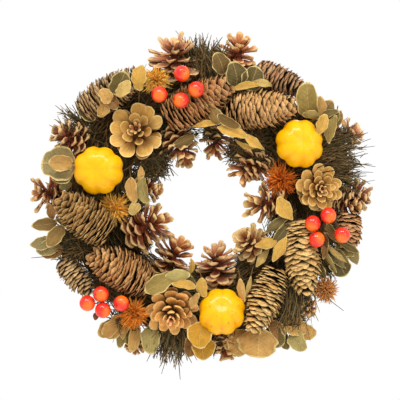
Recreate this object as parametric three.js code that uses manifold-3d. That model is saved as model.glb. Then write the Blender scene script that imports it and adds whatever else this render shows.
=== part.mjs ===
// A harvest door wreath: a wire frame with a bound twig ring in it, and on the ring a close-set
// trimming of cones, gourds, berries, thistle heads and dried leaves. A wire loop hangs it up.
//
// Millimetres, +Z up. The front faces -Y and the door lies behind, towards +Y. The origin is the
// hanging point, where a door hook bears on the inside of the hanging loop. Everything on the
// ring is placed by its direction and distance from the ring's centre: degrees run from +X
// towards +Z, so 0 is right, 90 is up and 180 is left as seen from the front.

import * as THREE from "three";
import { mergeVertices } from "three/addons/utils/BufferGeometryUtils.js";
import Module from "manifold-3d";

const wasm = await Module();
wasm.setup();

// The wire frame: two rims, a ring further back that rests on the door, and ties between them.
const FRAME_WIRE = 3;
const INNER_RIM_RADIUS = 90;
const OUTER_RIM_RADIUS = 130;
const BACK_RING_RADIUS = 110;
const RIM_Y = 1.5;
const BACK_RING_Y = 8;
const TIE_COUNT = 6;
const RING_SEGMENTS = 36;

// The twig ring: its section is an ellipse.
const BUNDLE_RADIUS = 110;
const BUNDLE_Y = -14.5;
const BUNDLE_HALF_WIDTH = 30;
const BUNDLE_HALF_DEPTH = 12.5;

// The wire wound round the twigs and the rims. Its section is a rounded rectangle.
const BINDING_WIRE = 1;
const BINDING_TURNS = 12;
const BINDING_Y = -13.5;
const BINDING_HALF_WIDTH = 33.5;
const BINDING_HALF_DEPTH = 19;
const BINDING_STEPS_PER_TURN = 12;

// The hanging loop, which swings on the outer rim's top.
const LOOP_WIRE = 1.6;
const LOOP_HEIGHT = 24;
const LOOP_HALF_WIDTH = 9;
const LOOP_EYE_RADIUS = 3.2;
const LOOP_STEPS = 44;

// The rim curves down this far between its top and the loop's eyes, which sets the hinge line.
const RIM_DROP_AT_EYES = 0.8;
const HINGE_HEIGHT = OUTER_RIM_RADIUS - RIM_DROP_AT_EYES;

// The trimming is laid on from behind: each piece moves forward until it clears what is laid.
const LAY_STEP = 0.5;
const LAY_GAP = 0.3;
const CLEAR_MM3 = 1e-4;

const CENTRE_Z = -(OUTER_RIM_RADIUS + LOOP_HEIGHT);
const BERRY_DIAMETER = 16;
const BERRY_STEM_WIRE = 1.4;
const BERRY_STEM_SET_BACK = 7;
const LEAF_THICKNESS = 1.2;
const LEAF_STALK = 1.6;

const radians = THREE.MathUtils.degToRad;
const LOCAL_AXIS = new THREE.Vector3(0, 1, 0);
const wreath = new THREE.Group();
wreath.position.z = CENTRE_Z;
const laid = [];

function material(colour, roughness, metalness = 0) {
  return new THREE.MeshStandardMaterial({ color: colour, roughness, metalness });
}

const wireMaterial = material(0x4a4f45, 0.45, 0.8);
const bindingMaterial = material(0x6b5a3a, 0.5, 0.7);
const twigMaterial = material(0x3f3222, 0.9);
const gourdMaterial = material(0xffc80a, 0.35);
const berryMaterial = material(0xf0502a, 0.2);
const stemMaterial = material(0x7a5a34, 0.8);
const thistleMaterial = material(0xc8741e, 0.9);
const rosetteMaterial = material(0xc8a05f, 0.75);
const spruceMaterial = material(0xb48c5f, 0.8);
const pineMaterial = material(0x8c5f3c, 0.8);
const leafMaterial = material(0xa09060, 0.7);

// A closed geometry's shared vertices merged, as manifold-3d needs them.
function toSolid(geometry, matrix = new THREE.Matrix4()) {
  const bare = new THREE.BufferGeometry();
  bare.setAttribute("position", geometry.getAttribute("position").clone());
  bare.setIndex(geometry.index);
  const merged = mergeVertices(bare.applyMatrix4(matrix), 1e-3);
  const positions = merged.getAttribute("position").array;
  return new wasm.Manifold(new wasm.Mesh({
    numProp: 3,
    vertProperties: positions,
    triVerts: new Uint32Array(merged.index.array),
  }));
}

function toGeometry(solid) {
  const { vertProperties, triVerts } = solid.getMesh();
  const geometry = new THREE.BufferGeometry();
  geometry.setAttribute("position", new THREE.BufferAttribute(vertProperties, 3));
  geometry.setIndex(new THREE.BufferAttribute(triVerts, 1));
  geometry.computeVertexNormals();
  return geometry;
}

function joined(geometries) {
  const [first, ...rest] = geometries.map((geometry) => toSolid(geometry));
  return toGeometry(rest.reduce((sum, solid) => sum.add(solid), first));
}

function polar(degrees, distance, y = 0) {
  const angle = radians(degrees);
  return new THREE.Vector3(distance * Math.cos(angle), y, distance * Math.sin(angle));
}

// The unit vector that points `heading` degrees round in the wreath's plane and leans forward.
function pointing(heading, lean) {
  const flat = Math.cos(radians(lean));
  return polar(heading, flat, -Math.sin(radians(lean)));
}

function add(name, geometry, surface) {
  const mesh = new THREE.Mesh(geometry, surface);
  mesh.name = name;
  wreath.add(mesh);
  return mesh;
}

function solidOf(mesh) {
  mesh.updateMatrix();
  return toSolid(mesh.geometry, mesh.matrix);
}

function boxesMeet(a, b) {
  return [0, 1, 2].every((i) => a.min[i] < b.max[i] && b.min[i] < a.max[i]);
}

function meets(solid) {
  const box = solid.boundingBox();
  return laid.some((other) =>
    boxesMeet(box, other.boundingBox()) && solid.intersect(other).volume() > CLEAR_MM3);
}

// Moves the meshes forward together until they clear everything laid so far, then keeps them.
function lay(...meshes) {
  const solids = meshes.map(solidOf);
  let forward = 0;
  while (solids.some((solid) => meets(solid.translate([0, -forward, 0])))) forward += LAY_STEP;
  forward += LAY_GAP;
  for (const [i, mesh] of meshes.entries()) {
    mesh.position.y -= forward;
    laid.push(solids[i].translate([0, -forward, 0]));
  }
}

// A wire or stalk of even thickness along a curve.
function wireAlong(curve, diameter, sides, steps) {
  const section = new THREE.Shape();
  for (let i = 0; i < sides; i++) {
    const angle = (2 * Math.PI * (i + 0.5)) / sides;
    const point = [Math.cos(angle) * diameter / 2, Math.sin(angle) * diameter / 2];
    if (i === 0) section.moveTo(...point);
    else section.lineTo(...point);
  }
  section.closePath();
  return new THREE.ExtrudeGeometry(section, { extrudePath: curve, steps, bevelEnabled: false });
}

// A ring of wire round the Y axis, with one of its flats facing the door.
function wireRing(radius, y) {
  const apothem = FRAME_WIRE / 2;
  const profile = [];
  for (let i = 0; i <= 6; i++) {
    const angle = (Math.PI * i) / 3;
    const reach = apothem / Math.cos(Math.PI / 6);
    profile.push(new THREE.Vector2(radius + reach * Math.cos(angle), y + reach * Math.sin(angle)));
  }
  return new THREE.LatheGeometry(profile, RING_SEGMENTS);
}

function wireFrame() {
  const rings = [
    wireRing(INNER_RIM_RADIUS, RIM_Y),
    wireRing(OUTER_RIM_RADIUS, RIM_Y),
    wireRing(BACK_RING_RADIUS, BACK_RING_Y),
  ];
  const ties = [];
  for (let i = 0; i < TIE_COUNT; i++) {
    const degrees = (360 / TIE_COUNT) * i;
    for (const rim of [INNER_RIM_RADIUS, OUTER_RIM_RADIUS]) {
      const from = polar(degrees, rim, RIM_Y);
      const to = polar(degrees, BACK_RING_RADIUS, BACK_RING_Y - FRAME_WIRE / 4);
      ties.push(wireAlong(new THREE.LineCurve3(from, to), FRAME_WIRE * 0.8, 5, 1));
    }
  }
  add("wire_frame", joined([...rings, ...ties]), wireMaterial);
}

function twigBundle() {
  const profile = [];
  for (let i = 0; i <= 10; i++) {
    const angle = (2 * Math.PI * i) / 10;
    profile.push(new THREE.Vector2(
      BUNDLE_RADIUS + BUNDLE_HALF_WIDTH * Math.cos(angle),
      BUNDLE_Y + BUNDLE_HALF_DEPTH * Math.sin(angle),
    ));
  }
  add("twig_bundle", new THREE.LatheGeometry(profile, RING_SEGMENTS), twigMaterial);
}

// The binding goes round the ring once and round the bundle BINDING_TURNS times. It passes in
// front of the bundle at every tie, so that it misses the ties behind.
class BindingPath extends THREE.Curve {
  getPoint(t, target = new THREE.Vector3()) {
    const end = 0.12 / BINDING_TURNS;
    const around = end + t * (1 - 2 * end);
    const phase = 2 * Math.PI * BINDING_TURNS * around - Math.PI / 2;
    const squared = (value) => Math.sign(value) * Math.sqrt(Math.abs(value));
    const radius = BUNDLE_RADIUS + BINDING_HALF_WIDTH * squared(Math.cos(phase));
    const y = BINDING_Y + BINDING_HALF_DEPTH * squared(Math.sin(phase));
    return target.copy(polar(360 * around, radius, y));
  }
}

function bindingWire() {
  const steps = BINDING_TURNS * BINDING_STEPS_PER_TURN;
  add("binding_wire", wireAlong(new BindingPath(), BINDING_WIRE, 5, steps), bindingMaterial);
}

// One wire: an eye round the rim, up one side, over the top, down the other side, and an eye.
class LoopPath extends THREE.Curve {
  getPoint(t, target = new THREE.Vector3()) {
    const side = t < 0.5 ? -1 : 1;
    const s = 1 - Math.abs(2 * t - 1);
    const eyeShare = 0.38;
    if (s < eyeShare) {
      const turn = radians(-60 + (s / eyeShare) * 240);
      return target.set(
        side * LOOP_HALF_WIDTH,
        RIM_Y + LOOP_EYE_RADIUS * Math.cos(turn),
        HINGE_HEIGHT - LOOP_EYE_RADIUS * Math.sin(turn),
      );
    }
    const rise = (s - eyeShare) / (1 - eyeShare);
    const top = LOOP_HEIGHT + RIM_DROP_AT_EYES + LOOP_WIRE / 2;
    const straight = 0.5;
    const foot = RIM_Y - LOOP_EYE_RADIUS;
    const archHeight = LOOP_HALF_WIDTH;
    if (rise < straight) {
      const up = (rise / straight) * (top - archHeight);
      return target.set(side * LOOP_HALF_WIDTH, foot * (1 - up / top), HINGE_HEIGHT + up);
    }
    const turn = ((rise - straight) / (1 - straight)) * (Math.PI / 2);
    const up = top - archHeight + archHeight * Math.sin(turn);
    return target.set(
      side * LOOP_HALF_WIDTH * Math.cos(turn),
      foot * (1 - up / top),
      HINGE_HEIGHT + up,
    );
  }
}

function hangingLoop() {
  add("hanging_loop", wireAlong(new LoopPath(), LOOP_WIRE, 6, LOOP_STEPS), bindingMaterial);
}

// A cone along its own +Y axis, base to tip. Each tier of scales flares out and drops back.
function coneGeometry(length, width, tiers, segments, widest) {
  const profile = [new THREE.Vector2(0, -length / 2)];
  const step = length / (tiers + 0.5);
  for (let i = 0; i < tiers; i++) {
    const along = (i + 0.5) / tiers;
    const swell = along < widest ? along / widest : (1 - along) / (1 - widest);
    const girth = (width / 2) * (0.42 + 0.58 * Math.sin((Math.PI / 2) * Math.min(1, swell)));
    const y = -length / 2 + step * i;
    if (i > 0) profile.push(new THREE.Vector2(girth * 0.8, y));
    profile.push(new THREE.Vector2(girth, y + step * 0.7));
  }
  profile.push(new THREE.Vector2(0, length / 2));
  return new THREE.LatheGeometry(profile, segments);
}

// Pushes a round geometry's sides in between `count` ribs.
function ribbed(geometry, count, depth) {
  const position = geometry.getAttribute("position");
  for (let i = 0; i < position.count; i++) {
    const angle = Math.atan2(position.getZ(i), position.getX(i));
    const pinch = 1 - depth * (0.5 - 0.5 * Math.cos(count * angle));
    position.setX(i, position.getX(i) * pinch);
    position.setZ(i, position.getZ(i) * pinch);
  }
  return geometry;
}

// A flattened ribbed gourd with a dimple at each end of its +Y axis.
function gourdGeometry(width, depth) {
  const profile = [new THREE.Vector2(0, -depth * 0.36)];
  for (let i = 0; i <= 6; i++) {
    const angle = radians(-66 + 22 * i);
    profile.push(new THREE.Vector2(
      (width / 2) * (0.22 + 0.78 * Math.cos(angle)),
      (depth / 2) * Math.sin(angle) / Math.sin(radians(66)),
    ));
  }
  profile.push(new THREE.Vector2(0, depth * 0.36));
  return ribbed(new THREE.LatheGeometry(profile, 18), 9, 0.1);
}

// An opened cone seen from its tip: a low dome of spread scales along +Y.
function rosetteGeometry(width, depth) {
  const outline = [[0, -0.5], [0.45, -0.42], [0.8, -0.16], [1, 0.1], [0.78, 0.2], [0.6, 0.36],
    [0.32, 0.4], [0, 0.5]];
  const profile = outline.map(([out, up]) => new THREE.Vector2((width / 2) * out, depth * up));
  return ribbed(new THREE.LatheGeometry(profile, 18), 9, 0.14);
}

// A bristly head: a ball whose corners stand out in turn as tufts.
function thistleGeometry(width) {
  const ball = new THREE.IcosahedronGeometry(width / 2, 1);
  const position = ball.getAttribute("position");
  for (let i = 0; i < position.count; i++) {
    const corner = new THREE.Vector3().fromBufferAttribute(position, i);
    const tuft = Math.abs(Math.round(corner.x * 7 + corner.y * 5 + corner.z * 3)) % 2;
    corner.multiplyScalar(tuft ? 1 : 0.76);
    position.setXYZ(i, corner.x, corner.y, corner.z);
  }
  return ball;
}

// A flat rounded leaf in its own X-Z plane, its stalk end at the origin and its tip along +X.
function leafGeometry(length, width) {
  const outline = new THREE.Shape();
  outline.moveTo(0, 0);
  outline.quadraticCurveTo(length * 0.3, width * 0.62, length * 0.72, width * 0.42);
  outline.quadraticCurveTo(length, width * 0.26, length, 0);
  outline.quadraticCurveTo(length, -width * 0.26, length * 0.72, -width * 0.42);
  outline.quadraticCurveTo(length * 0.3, -width * 0.62, 0, 0);
  const leaf = new THREE.ExtrudeGeometry(outline, {
    depth: LEAF_THICKNESS, bevelEnabled: false, curveSegments: 2,
  });
  return leaf.translate(0, 0, -LEAF_THICKNESS / 2).rotateX(Math.PI / 2);
}

// Places a piece whose own axis is +Y at a direction and distance, pointing its tip one way.
function place(mesh, [degrees, distance], y, heading, lean) {
  mesh.position.copy(polar(degrees, distance, y));
  mesh.quaternion.setFromUnitVectors(LOCAL_AXIS, pointing(heading, lean));
  return mesh;
}

// Small open pine cones. Each: name, place, depth to start at, heading of the tip, lean, length,
// width. Those inside the ring point at its centre and those on the rim point away from it.
function pineCones() {
  const cones = [
    ["pine_cone_rim_top_left", [102, 150], -24, 104, 22, 44, 42],
    ["pine_cone_rim_top_right", [76, 153], -24, 78, 22, 38, 36],
    ["pine_cone_rim_left_upper", [155, 153], -20, 157, 18, 38, 34],
    ["pine_cone_rim_left", [177, 158], -20, 178, 18, 38, 35],
    ["pine_cone_rim_right_upper", [27, 160], -20, 30, 20, 34, 31],
    ["pine_cone_rim_right", [2, 160], -20, 3, 18, 36, 32],
    ["pine_cone_inner_11_oclock", [111, 56], -24, 296, 18, 46, 34],
    ["pine_cone_inner_12_oclock", [76, 58], -18, 262, 14, 40, 27],
    ["pine_cone_inner_2_oclock", [37, 57], -22, 220, 16, 42, 31],
    ["pine_cone_inner_3_oclock", [354, 61], -22, 178, 16, 42, 33],
    ["pine_cone_inner_4_oclock", [320, 62], -24, 138, 18, 42, 31],
    ["pine_cone_inner_6_oclock", [282, 62], -24, 100, 16, 46, 38],
    ["pine_cone_inner_7_oclock", [244, 61], -20, 64, 16, 44, 36],
    ["pine_cone_inner_8_oclock", [206, 60], -22, 24, 14, 46, 39],
  ];
  for (const [name, spot, y, heading, lean, length, width] of cones) {
    const mesh = add(name, coneGeometry(length, width, 4, 9, 0.35), pineMaterial);
    lay(place(mesh, spot, y, heading, lean));
  }
}

// Long closed cones. Each: name, place, depth to start at, heading of the tip, lean, length,
// width.
function spruceCones(cones) {
  for (const [name, spot, y, heading, lean, length, width] of cones) {
    const mesh = add(name, coneGeometry(length, width, 6, 10, 0.4), spruceMaterial);
    lay(place(mesh, spot, y, heading, lean));
  }
}

const RIM_SPRUCE_CONES = [
  ["spruce_cone_rim_upper_left", [130, 145], -28, 32, 4, 74, 38],
  ["spruce_cone_rim_upper_right", [58, 147], -26, 339, 6, 56, 32],
  ["spruce_cone_rim_lower_left", [212, 148], -24, 312, 6, 48, 28],
];

const FRONT_SPRUCE_CONES = [
  ["spruce_cone_upper_right", [57, 108], -50, 5, 6, 74, 40],
  ["spruce_cone_top", [92, 98], -50, 29, 6, 78, 42],
  ["spruce_cone_left", [188, 119], -50, 143, 6, 66, 43],
  ["spruce_cone_lower_left", [220, 107], -50, 154, 8, 70, 43],
  ["spruce_cone_right", [330, 115], -50, 276, 4, 79, 38],
  ["spruce_cone_lower_right", [302, 118], -50, 248, 6, 72, 37],
];

// Lays a leaf's own X axis along `tip` with its face turned as far to the front as that allows.
function bladeMatrix(at, tip) {
  const face = LOCAL_AXIS.clone().addScaledVector(tip, -LOCAL_AXIS.dot(tip)).normalize();
  const across = new THREE.Vector3().crossVectors(tip, face);
  return new THREE.Matrix4().makeBasis(tip, face, across).setPosition(at);
}

// Leaf sprays: a root on the ring, and leaves given by the place of their stalk end, heading,
// lean, length and width.
function leafSprays() {
  const sprays = {
    leaf_spray_left: [[160, 128], -50, [
      [165, 130, 176, 8, 35, 33], [168, 132, 196, 14, 22, 14],
    ]],
    leaf_spray_lower_left: [[195, 136], -38, [
      [189, 147, 186, 10, 26, 14], [196, 150, 206, 16, 24, 16], [199, 148, 200, 10, 22, 14],
    ]],
    leaf_spray_top: [[78, 120], -42, [
      [80, 127, 112, 12, 24, 17], [73, 118, 100, 16, 26, 21], [68, 118, 66, 10, 26, 22],
    ]],
    leaf_spray_upper_right: [[38, 126], -45, [
      [37, 136, 96, 10, 37, 22], [33, 142, 66, 14, 25, 16], [29, 142, 60, 10, 24, 12],
    ]],
    leaf_spray_right: [[348, 134], -36, [
      [345, 139, 352, 14, 22, 18], [342, 142, 330, 16, 22, 17], [339, 133, 318, 8, 32, 14],
    ]],
    leaf_spray_lower_right: [[297, 138], -34, [
      [304, 144, 330, 10, 30, 22], [298, 146, 300, 14, 26, 22], [291, 144, 262, 12, 30, 26],
      [286, 142, 226, 10, 26, 20],
    ]],
    leaf_spray_bottom_left: [[242, 134], -34, [
      [248, 137, 270, 12, 28, 19], [242, 142, 262, 14, 28, 12], [236, 142, 222, 10, 28, 20],
    ]],
  };
  for (const [name, [[rootDegrees, rootDistance], y, leaves]] of Object.entries(sprays)) {
    const root = polar(rootDegrees, rootDistance, 2);
    const pieces = [];
    for (const [degrees, distance, heading, lean, length, width] of leaves) {
      const blade = bladeMatrix(polar(degrees, distance), pointing(heading, lean));
      pieces.push(leafGeometry(length, width).applyMatrix4(blade));
      const inLeaf = new THREE.Vector3(length * 0.5, 0, 0).applyMatrix4(blade);
      pieces.push(wireAlong(new THREE.LineCurve3(root, inLeaf), LEAF_STALK, 5, 1));
    }
    const mesh = add(name, joined(pieces), leafMaterial);
    mesh.position.y = y;
    lay(mesh);
  }
}

function thistles() {
  const heads = [
    ["thistle_top", [111, 128], -44, 26],
    ["thistle_left", [186, 88], -40, 30],
    ["thistle_right", [13, 80], -40, 31],
    ["thistle_lower_left", [239, 134], -44, 31],
    ["thistle_lower_right", [324, 153], -38, 28],
  ];
  for (const [name, [degrees, distance], y, width] of heads) {
    const mesh = add(name, thistleGeometry(width), thistleMaterial);
    mesh.position.copy(polar(degrees, distance, y));
    lay(mesh);
  }
}

function rosettes() {
  const cones = [
    ["rosette_cone_upper_left", [133, 95], 118, 78, 59, 32],
    ["rosette_cone_right", [5, 118], 20, 78, 54, 30],
    ["rosette_cone_bottom", [255, 116], 250, 78, 53, 30],
  ];
  for (const [name, spot, heading, lean, width, depth] of cones) {
    const mesh = add(name, rosetteGeometry(width, depth), rosetteMaterial);
    lay(place(mesh, spot, -50, heading, lean));
  }
}

function gourds() {
  const fruits = [
    ["gourd_left", [164, 107], 164, 80, 51],
    ["gourd_right", [30, 112], 30, 78, 50],
    ["gourd_bottom", [280, 113], 90, 72, 49],
  ];
  for (const [name, spot, heading, lean, width] of fruits) {
    const mesh = add(name, gourdGeometry(width, width * 0.74), gourdMaterial);
    lay(place(mesh, spot, -54, heading, lean));
  }
}

// A berry pick: four berries, and a forked wire stem that ends just behind each of them.
function berryPick(side, root, y, spots) {
  const radius = BERRY_DIAMETER / 2;
  const fork = polar(...root, BERRY_STEM_SET_BACK);
  const branches = spots.map(([degrees, distance]) => {
    const berry = polar(degrees, distance);
    const away = berry.clone().sub(fork).normalize();
    const end = berry.clone().addScaledVector(away, -(radius + LAY_GAP));
    const start = fork.clone().addScaledVector(away, -BERRY_STEM_WIRE);
    return wireAlong(new THREE.LineCurve3(start, end), BERRY_STEM_WIRE, 5, 1);
  });
  const pick = [add(`berry_stem_${side}`, joined(branches), stemMaterial)];
  for (const [i, [degrees, distance]] of spots.entries()) {
    const sphere = new THREE.SphereGeometry(radius, 10, 6);
    const berry = add(`berry_${side}_${i + 1}`, sphere, berryMaterial);
    berry.position.copy(polar(degrees, distance));
    pick.push(berry);
  }
  for (const mesh of pick) mesh.position.y += y;
  lay(...pick);
}

wireFrame();
twigBundle();
bindingWire();
hangingLoop();
for (const mesh of wreath.children) laid.push(solidOf(mesh));
pineCones();
spruceCones(RIM_SPRUCE_CONES);
leafSprays();
thistles();
spruceCones(FRONT_SPRUCE_CONES);
rosettes();
gourds();
berryPick("top", [102, 108], -60, [[99, 126], [93, 109], [112, 112], [102, 100]]);
berryPick("right", [346, 122], -60, [[348, 112], [353, 126], [346, 143], [341, 120]]);
berryPick("left", [225, 142], -60, [[223, 137], [222, 153], [228, 147], [232, 130]]);

const object = new THREE.Group();
object.add(wreath);

export default object;
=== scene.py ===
"""The looks of a harvest door wreath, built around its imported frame.

Sizes here are in millimetres and build() turns them into metres. Places on the wreath are given
from the ring's centre, by degrees and distance or by x and z: +X is right, +Z up, and the front
faces -Y. A cone, gourd or rosette has its own axes: y from its base to its tip, x and z across.
"""

import math

import bpy
import numpy as np
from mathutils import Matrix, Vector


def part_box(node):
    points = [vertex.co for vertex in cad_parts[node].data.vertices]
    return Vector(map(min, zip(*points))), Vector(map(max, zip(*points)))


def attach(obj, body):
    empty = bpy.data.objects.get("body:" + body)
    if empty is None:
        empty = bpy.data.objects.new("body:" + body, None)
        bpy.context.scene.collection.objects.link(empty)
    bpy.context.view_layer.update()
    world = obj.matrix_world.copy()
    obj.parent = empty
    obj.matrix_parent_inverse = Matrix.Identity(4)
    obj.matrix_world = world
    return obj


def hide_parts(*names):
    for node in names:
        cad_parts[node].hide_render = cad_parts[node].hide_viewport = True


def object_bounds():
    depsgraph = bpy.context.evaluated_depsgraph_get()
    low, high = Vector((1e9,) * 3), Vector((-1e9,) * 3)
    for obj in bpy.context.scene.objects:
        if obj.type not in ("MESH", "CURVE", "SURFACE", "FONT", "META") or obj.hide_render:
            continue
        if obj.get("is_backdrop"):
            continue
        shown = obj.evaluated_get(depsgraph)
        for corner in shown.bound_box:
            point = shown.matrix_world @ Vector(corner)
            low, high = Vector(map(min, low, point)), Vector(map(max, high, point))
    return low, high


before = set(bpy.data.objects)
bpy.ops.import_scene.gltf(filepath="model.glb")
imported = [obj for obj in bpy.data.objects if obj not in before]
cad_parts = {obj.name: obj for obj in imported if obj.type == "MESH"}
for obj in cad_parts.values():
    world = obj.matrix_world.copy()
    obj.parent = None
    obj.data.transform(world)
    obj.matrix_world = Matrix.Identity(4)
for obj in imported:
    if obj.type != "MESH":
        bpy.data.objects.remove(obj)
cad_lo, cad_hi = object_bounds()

MM = 0.001
FRONT = np.array([0.0, -1.0, 0.0])
UP = np.array([0.0, 0.0, 1.0])
GOLDEN_ANGLE = math.radians(137.50776)


def box_mm(node):
    lo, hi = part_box(node)
    return np.array(lo) / MM, np.array(hi) / MM


rim_lo, rim_hi = box_mm("wire_frame")
CENTRE = np.array([0.0, 0.0, (rim_lo[2] + rim_hi[2]) / 2])


# ---------------------------------------------------------------- small vector helpers

def unit(v):
    return v / np.maximum(np.linalg.norm(v, axis=-1, keepdims=True), 1e-9)


def polar(degrees, distance, y):
    return CENTRE + around(np.radians(degrees), distance, y)


def pointing(heading, lean):
    """The unit vector that points `heading` degrees round in the wreath's plane and leans forward."""
    turn, rise = math.radians(heading), math.radians(lean)
    return np.array([math.cos(turn) * math.cos(rise), -math.sin(rise), math.sin(turn) * math.cos(rise)])


def around(azimuth, out, up):
    """Points at `out` from a piece's own y axis and `up` along it."""
    return np.stack([out * np.cos(azimuth), up, out * np.sin(azimuth)], axis=-1)


def side_of(azimuth):
    return np.stack([-np.sin(azimuth), np.zeros_like(azimuth), np.cos(azimuth)], axis=-1)


def shares(count):
    """0 to 1 in `count` steps, shaped to go along paths (strands, steps, 3)."""
    return np.linspace(0, 1, count)[None, :, None]


PAINT_LEVEL = np.array([0.78, 0.75, 0.62])


def srgb(red, green, blue):
    """A paint colour from its 0-255 display values, toned down for the bright studio."""
    c = np.array([red, green, blue], float) / 255
    return PAINT_LEVEL * np.where(c <= 0.04045, c / 12.92, ((c + 0.055) / 1.055) ** 2.4)


def seeded(name):
    return np.random.default_rng(sum((i + 1) * ord(c) for i, c in enumerate(name)))


def smoothstep(low, high, value):
    t = np.clip((value - low) / (high - low), 0, 1)
    return t * t * (3 - 2 * t)


def varied(rng, colours, count, spread=0.1):
    """One colour for each of `count` parts: a blend of two of the colours, lighter or darker.

    The colours are 0-255 display values, as srgb() takes them.
    """
    colours = np.array([srgb(*c) for c in colours])
    first = colours[rng.integers(len(colours), size=count)]
    second = colours[rng.integers(len(colours), size=count)]
    share = rng.random((count, 1))
    light = 1 + spread * rng.standard_normal((count, 1))
    return np.clip((first * share + second * (1 - share)) * light, 0.002, 1)


# ---------------------------------------------------------------- mesh making

class Mesh:
    """Collects the shells, strands and lofts of one piece, with the values that paint them.

    tint is the colour, plate is (across, along, tone) and rim is 1 at a shell's edge.
    """

    def __init__(self):
        self.points, self.quads, self.triangles = [], [], []
        self.tint, self.plate, self.rim = [], [], []
        self.count = 0

    def add(self, points, quads, triangles, tint, plate, rim):
        self.points.append(points)
        self.quads.append(quads + self.count)
        self.triangles.append(triangles + self.count)
        self.tint.append(np.broadcast_to(tint, points.shape))
        self.plate.append(plate)
        self.rim.append(np.broadcast_to(rim, points.shape[:1]))
        self.count += len(points)

    def moved(self, seat):
        self.points = [seat.place(p) for p in self.points]
        return self


NO_FACES = np.zeros((0, 3), int)
FLIPPED = [0, 2, 1]
EVEN_TONE = 0.5


def placed(name, data):
    """Puts a new object with this data in the scene."""
    obj = bpy.data.objects.new(name, data)
    bpy.context.scene.collection.objects.link(obj)
    return obj


def build(name, mesh, surface, body="wreath", replaces=(), sharp=48):
    """Makes one Blender object from a Mesh, and rides it on its body."""
    points = np.concatenate(mesh.points) * MM
    quads, triangles = np.concatenate(mesh.quads), np.concatenate(mesh.triangles)
    corners = np.concatenate([quads.ravel(), triangles.ravel()]).astype(np.int32)
    starts = np.concatenate([
        np.arange(len(quads)) * 4,
        len(quads) * 4 + np.arange(len(triangles)) * 3,
    ]).astype(np.int32)
    data = bpy.data.meshes.new(name)
    data.vertices.add(len(points))
    data.vertices.foreach_set("co", points.astype(np.float32).ravel())
    data.loops.add(len(corners))
    data.loops.foreach_set("vertex_index", corners)
    data.polygons.add(len(starts))
    data.polygons.foreach_set("loop_start", starts)
    tint = np.pad(np.concatenate(mesh.tint), ((0, 0), (0, 1)), constant_values=1)
    for field, kind, part, values in (
            ("tint", "FLOAT_COLOR", "color", tint),
            ("plate", "FLOAT_VECTOR", "vector", np.concatenate(mesh.plate)),
            ("rim", "FLOAT", "value", np.concatenate(mesh.rim))):
        attribute = data.attributes.new(field, kind, "POINT")
        attribute.data.foreach_set(part, values.astype(np.float32).ravel())
    data.update(calc_edges=True)
    data.validate()
    data.shade_smooth()
    data.set_sharp_from_angle(angle=math.radians(sharp))
    data.materials.append(surface)
    obj = placed(name, data)
    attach(obj, body)
    if replaces:
        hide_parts(*replaces)


def grid_quads(ids):
    return np.stack([ids[:-1, :-1], ids[1:, :-1], ids[1:, 1:], ids[:-1, 1:]], axis=-1).reshape(-1, 4)


def tube_ids(rings, sides, closed=False):
    """The point numbers of a tube's rings, each with its first point again at the end.

    `closed` also puts the first ring again after the last.
    """
    ids = np.arange(rings * sides).reshape(rings, sides)
    ids = np.concatenate([ids, ids[:, :1]], axis=1)
    return np.concatenate([ids, ids[:1]]) if closed else ids


def plates(across, along, tone):
    """The plate values of points: how far each is across and along its part, and the tone."""
    return np.stack(np.broadcast_arrays(across, along, tone), axis=-1).reshape(-1, 3)


def fan(pole, ring):
    """Triangles from a pole to each side of a ring."""
    return np.stack([np.full(len(ring) - 1, pole), ring[:-1], ring[1:]], axis=-1)


class Template:
    """A thin closed shell on the unit disc: a front and a back sheet that share their rim.

    x runs -1 to 1 across, s runs 0 to 1 along, and side is 1 in front, -1 behind, 0 on the rim.
    """

    RIM_CROWDING = 1.15

    def __init__(self, across, along, roundness):
        end = self.RIM_CROWDING
        steps = [np.sin(np.linspace(-end, end, n)) / np.sin(end) for n in (across, along)]
        u, v = np.meshgrid(*steps, indexing="ij")
        x = u * np.sqrt(1 - roundness * v * v / 2)
        y = v * np.sqrt(1 - roundness * u * u / 2)
        rim = np.maximum(abs(u), abs(v))
        inner = rim < 0.999
        front = np.arange(u.size).reshape(u.shape)
        back = front.copy()
        back[inner] = u.size + np.arange(inner.sum())
        picked = np.concatenate([front.ravel(), front[inner]])
        self.x = x.ravel()[picked]
        self.s = (y.ravel()[picked] / abs(y).max() + 1) / 2
        self.rim = rim.ravel()[picked]
        self.side = np.concatenate([np.where(inner, 1.0, 0.0).ravel(), -np.ones(inner.sum())])
        self.quads = np.concatenate([grid_quads(front), grid_quads(back)[:, ::-1]])


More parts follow.
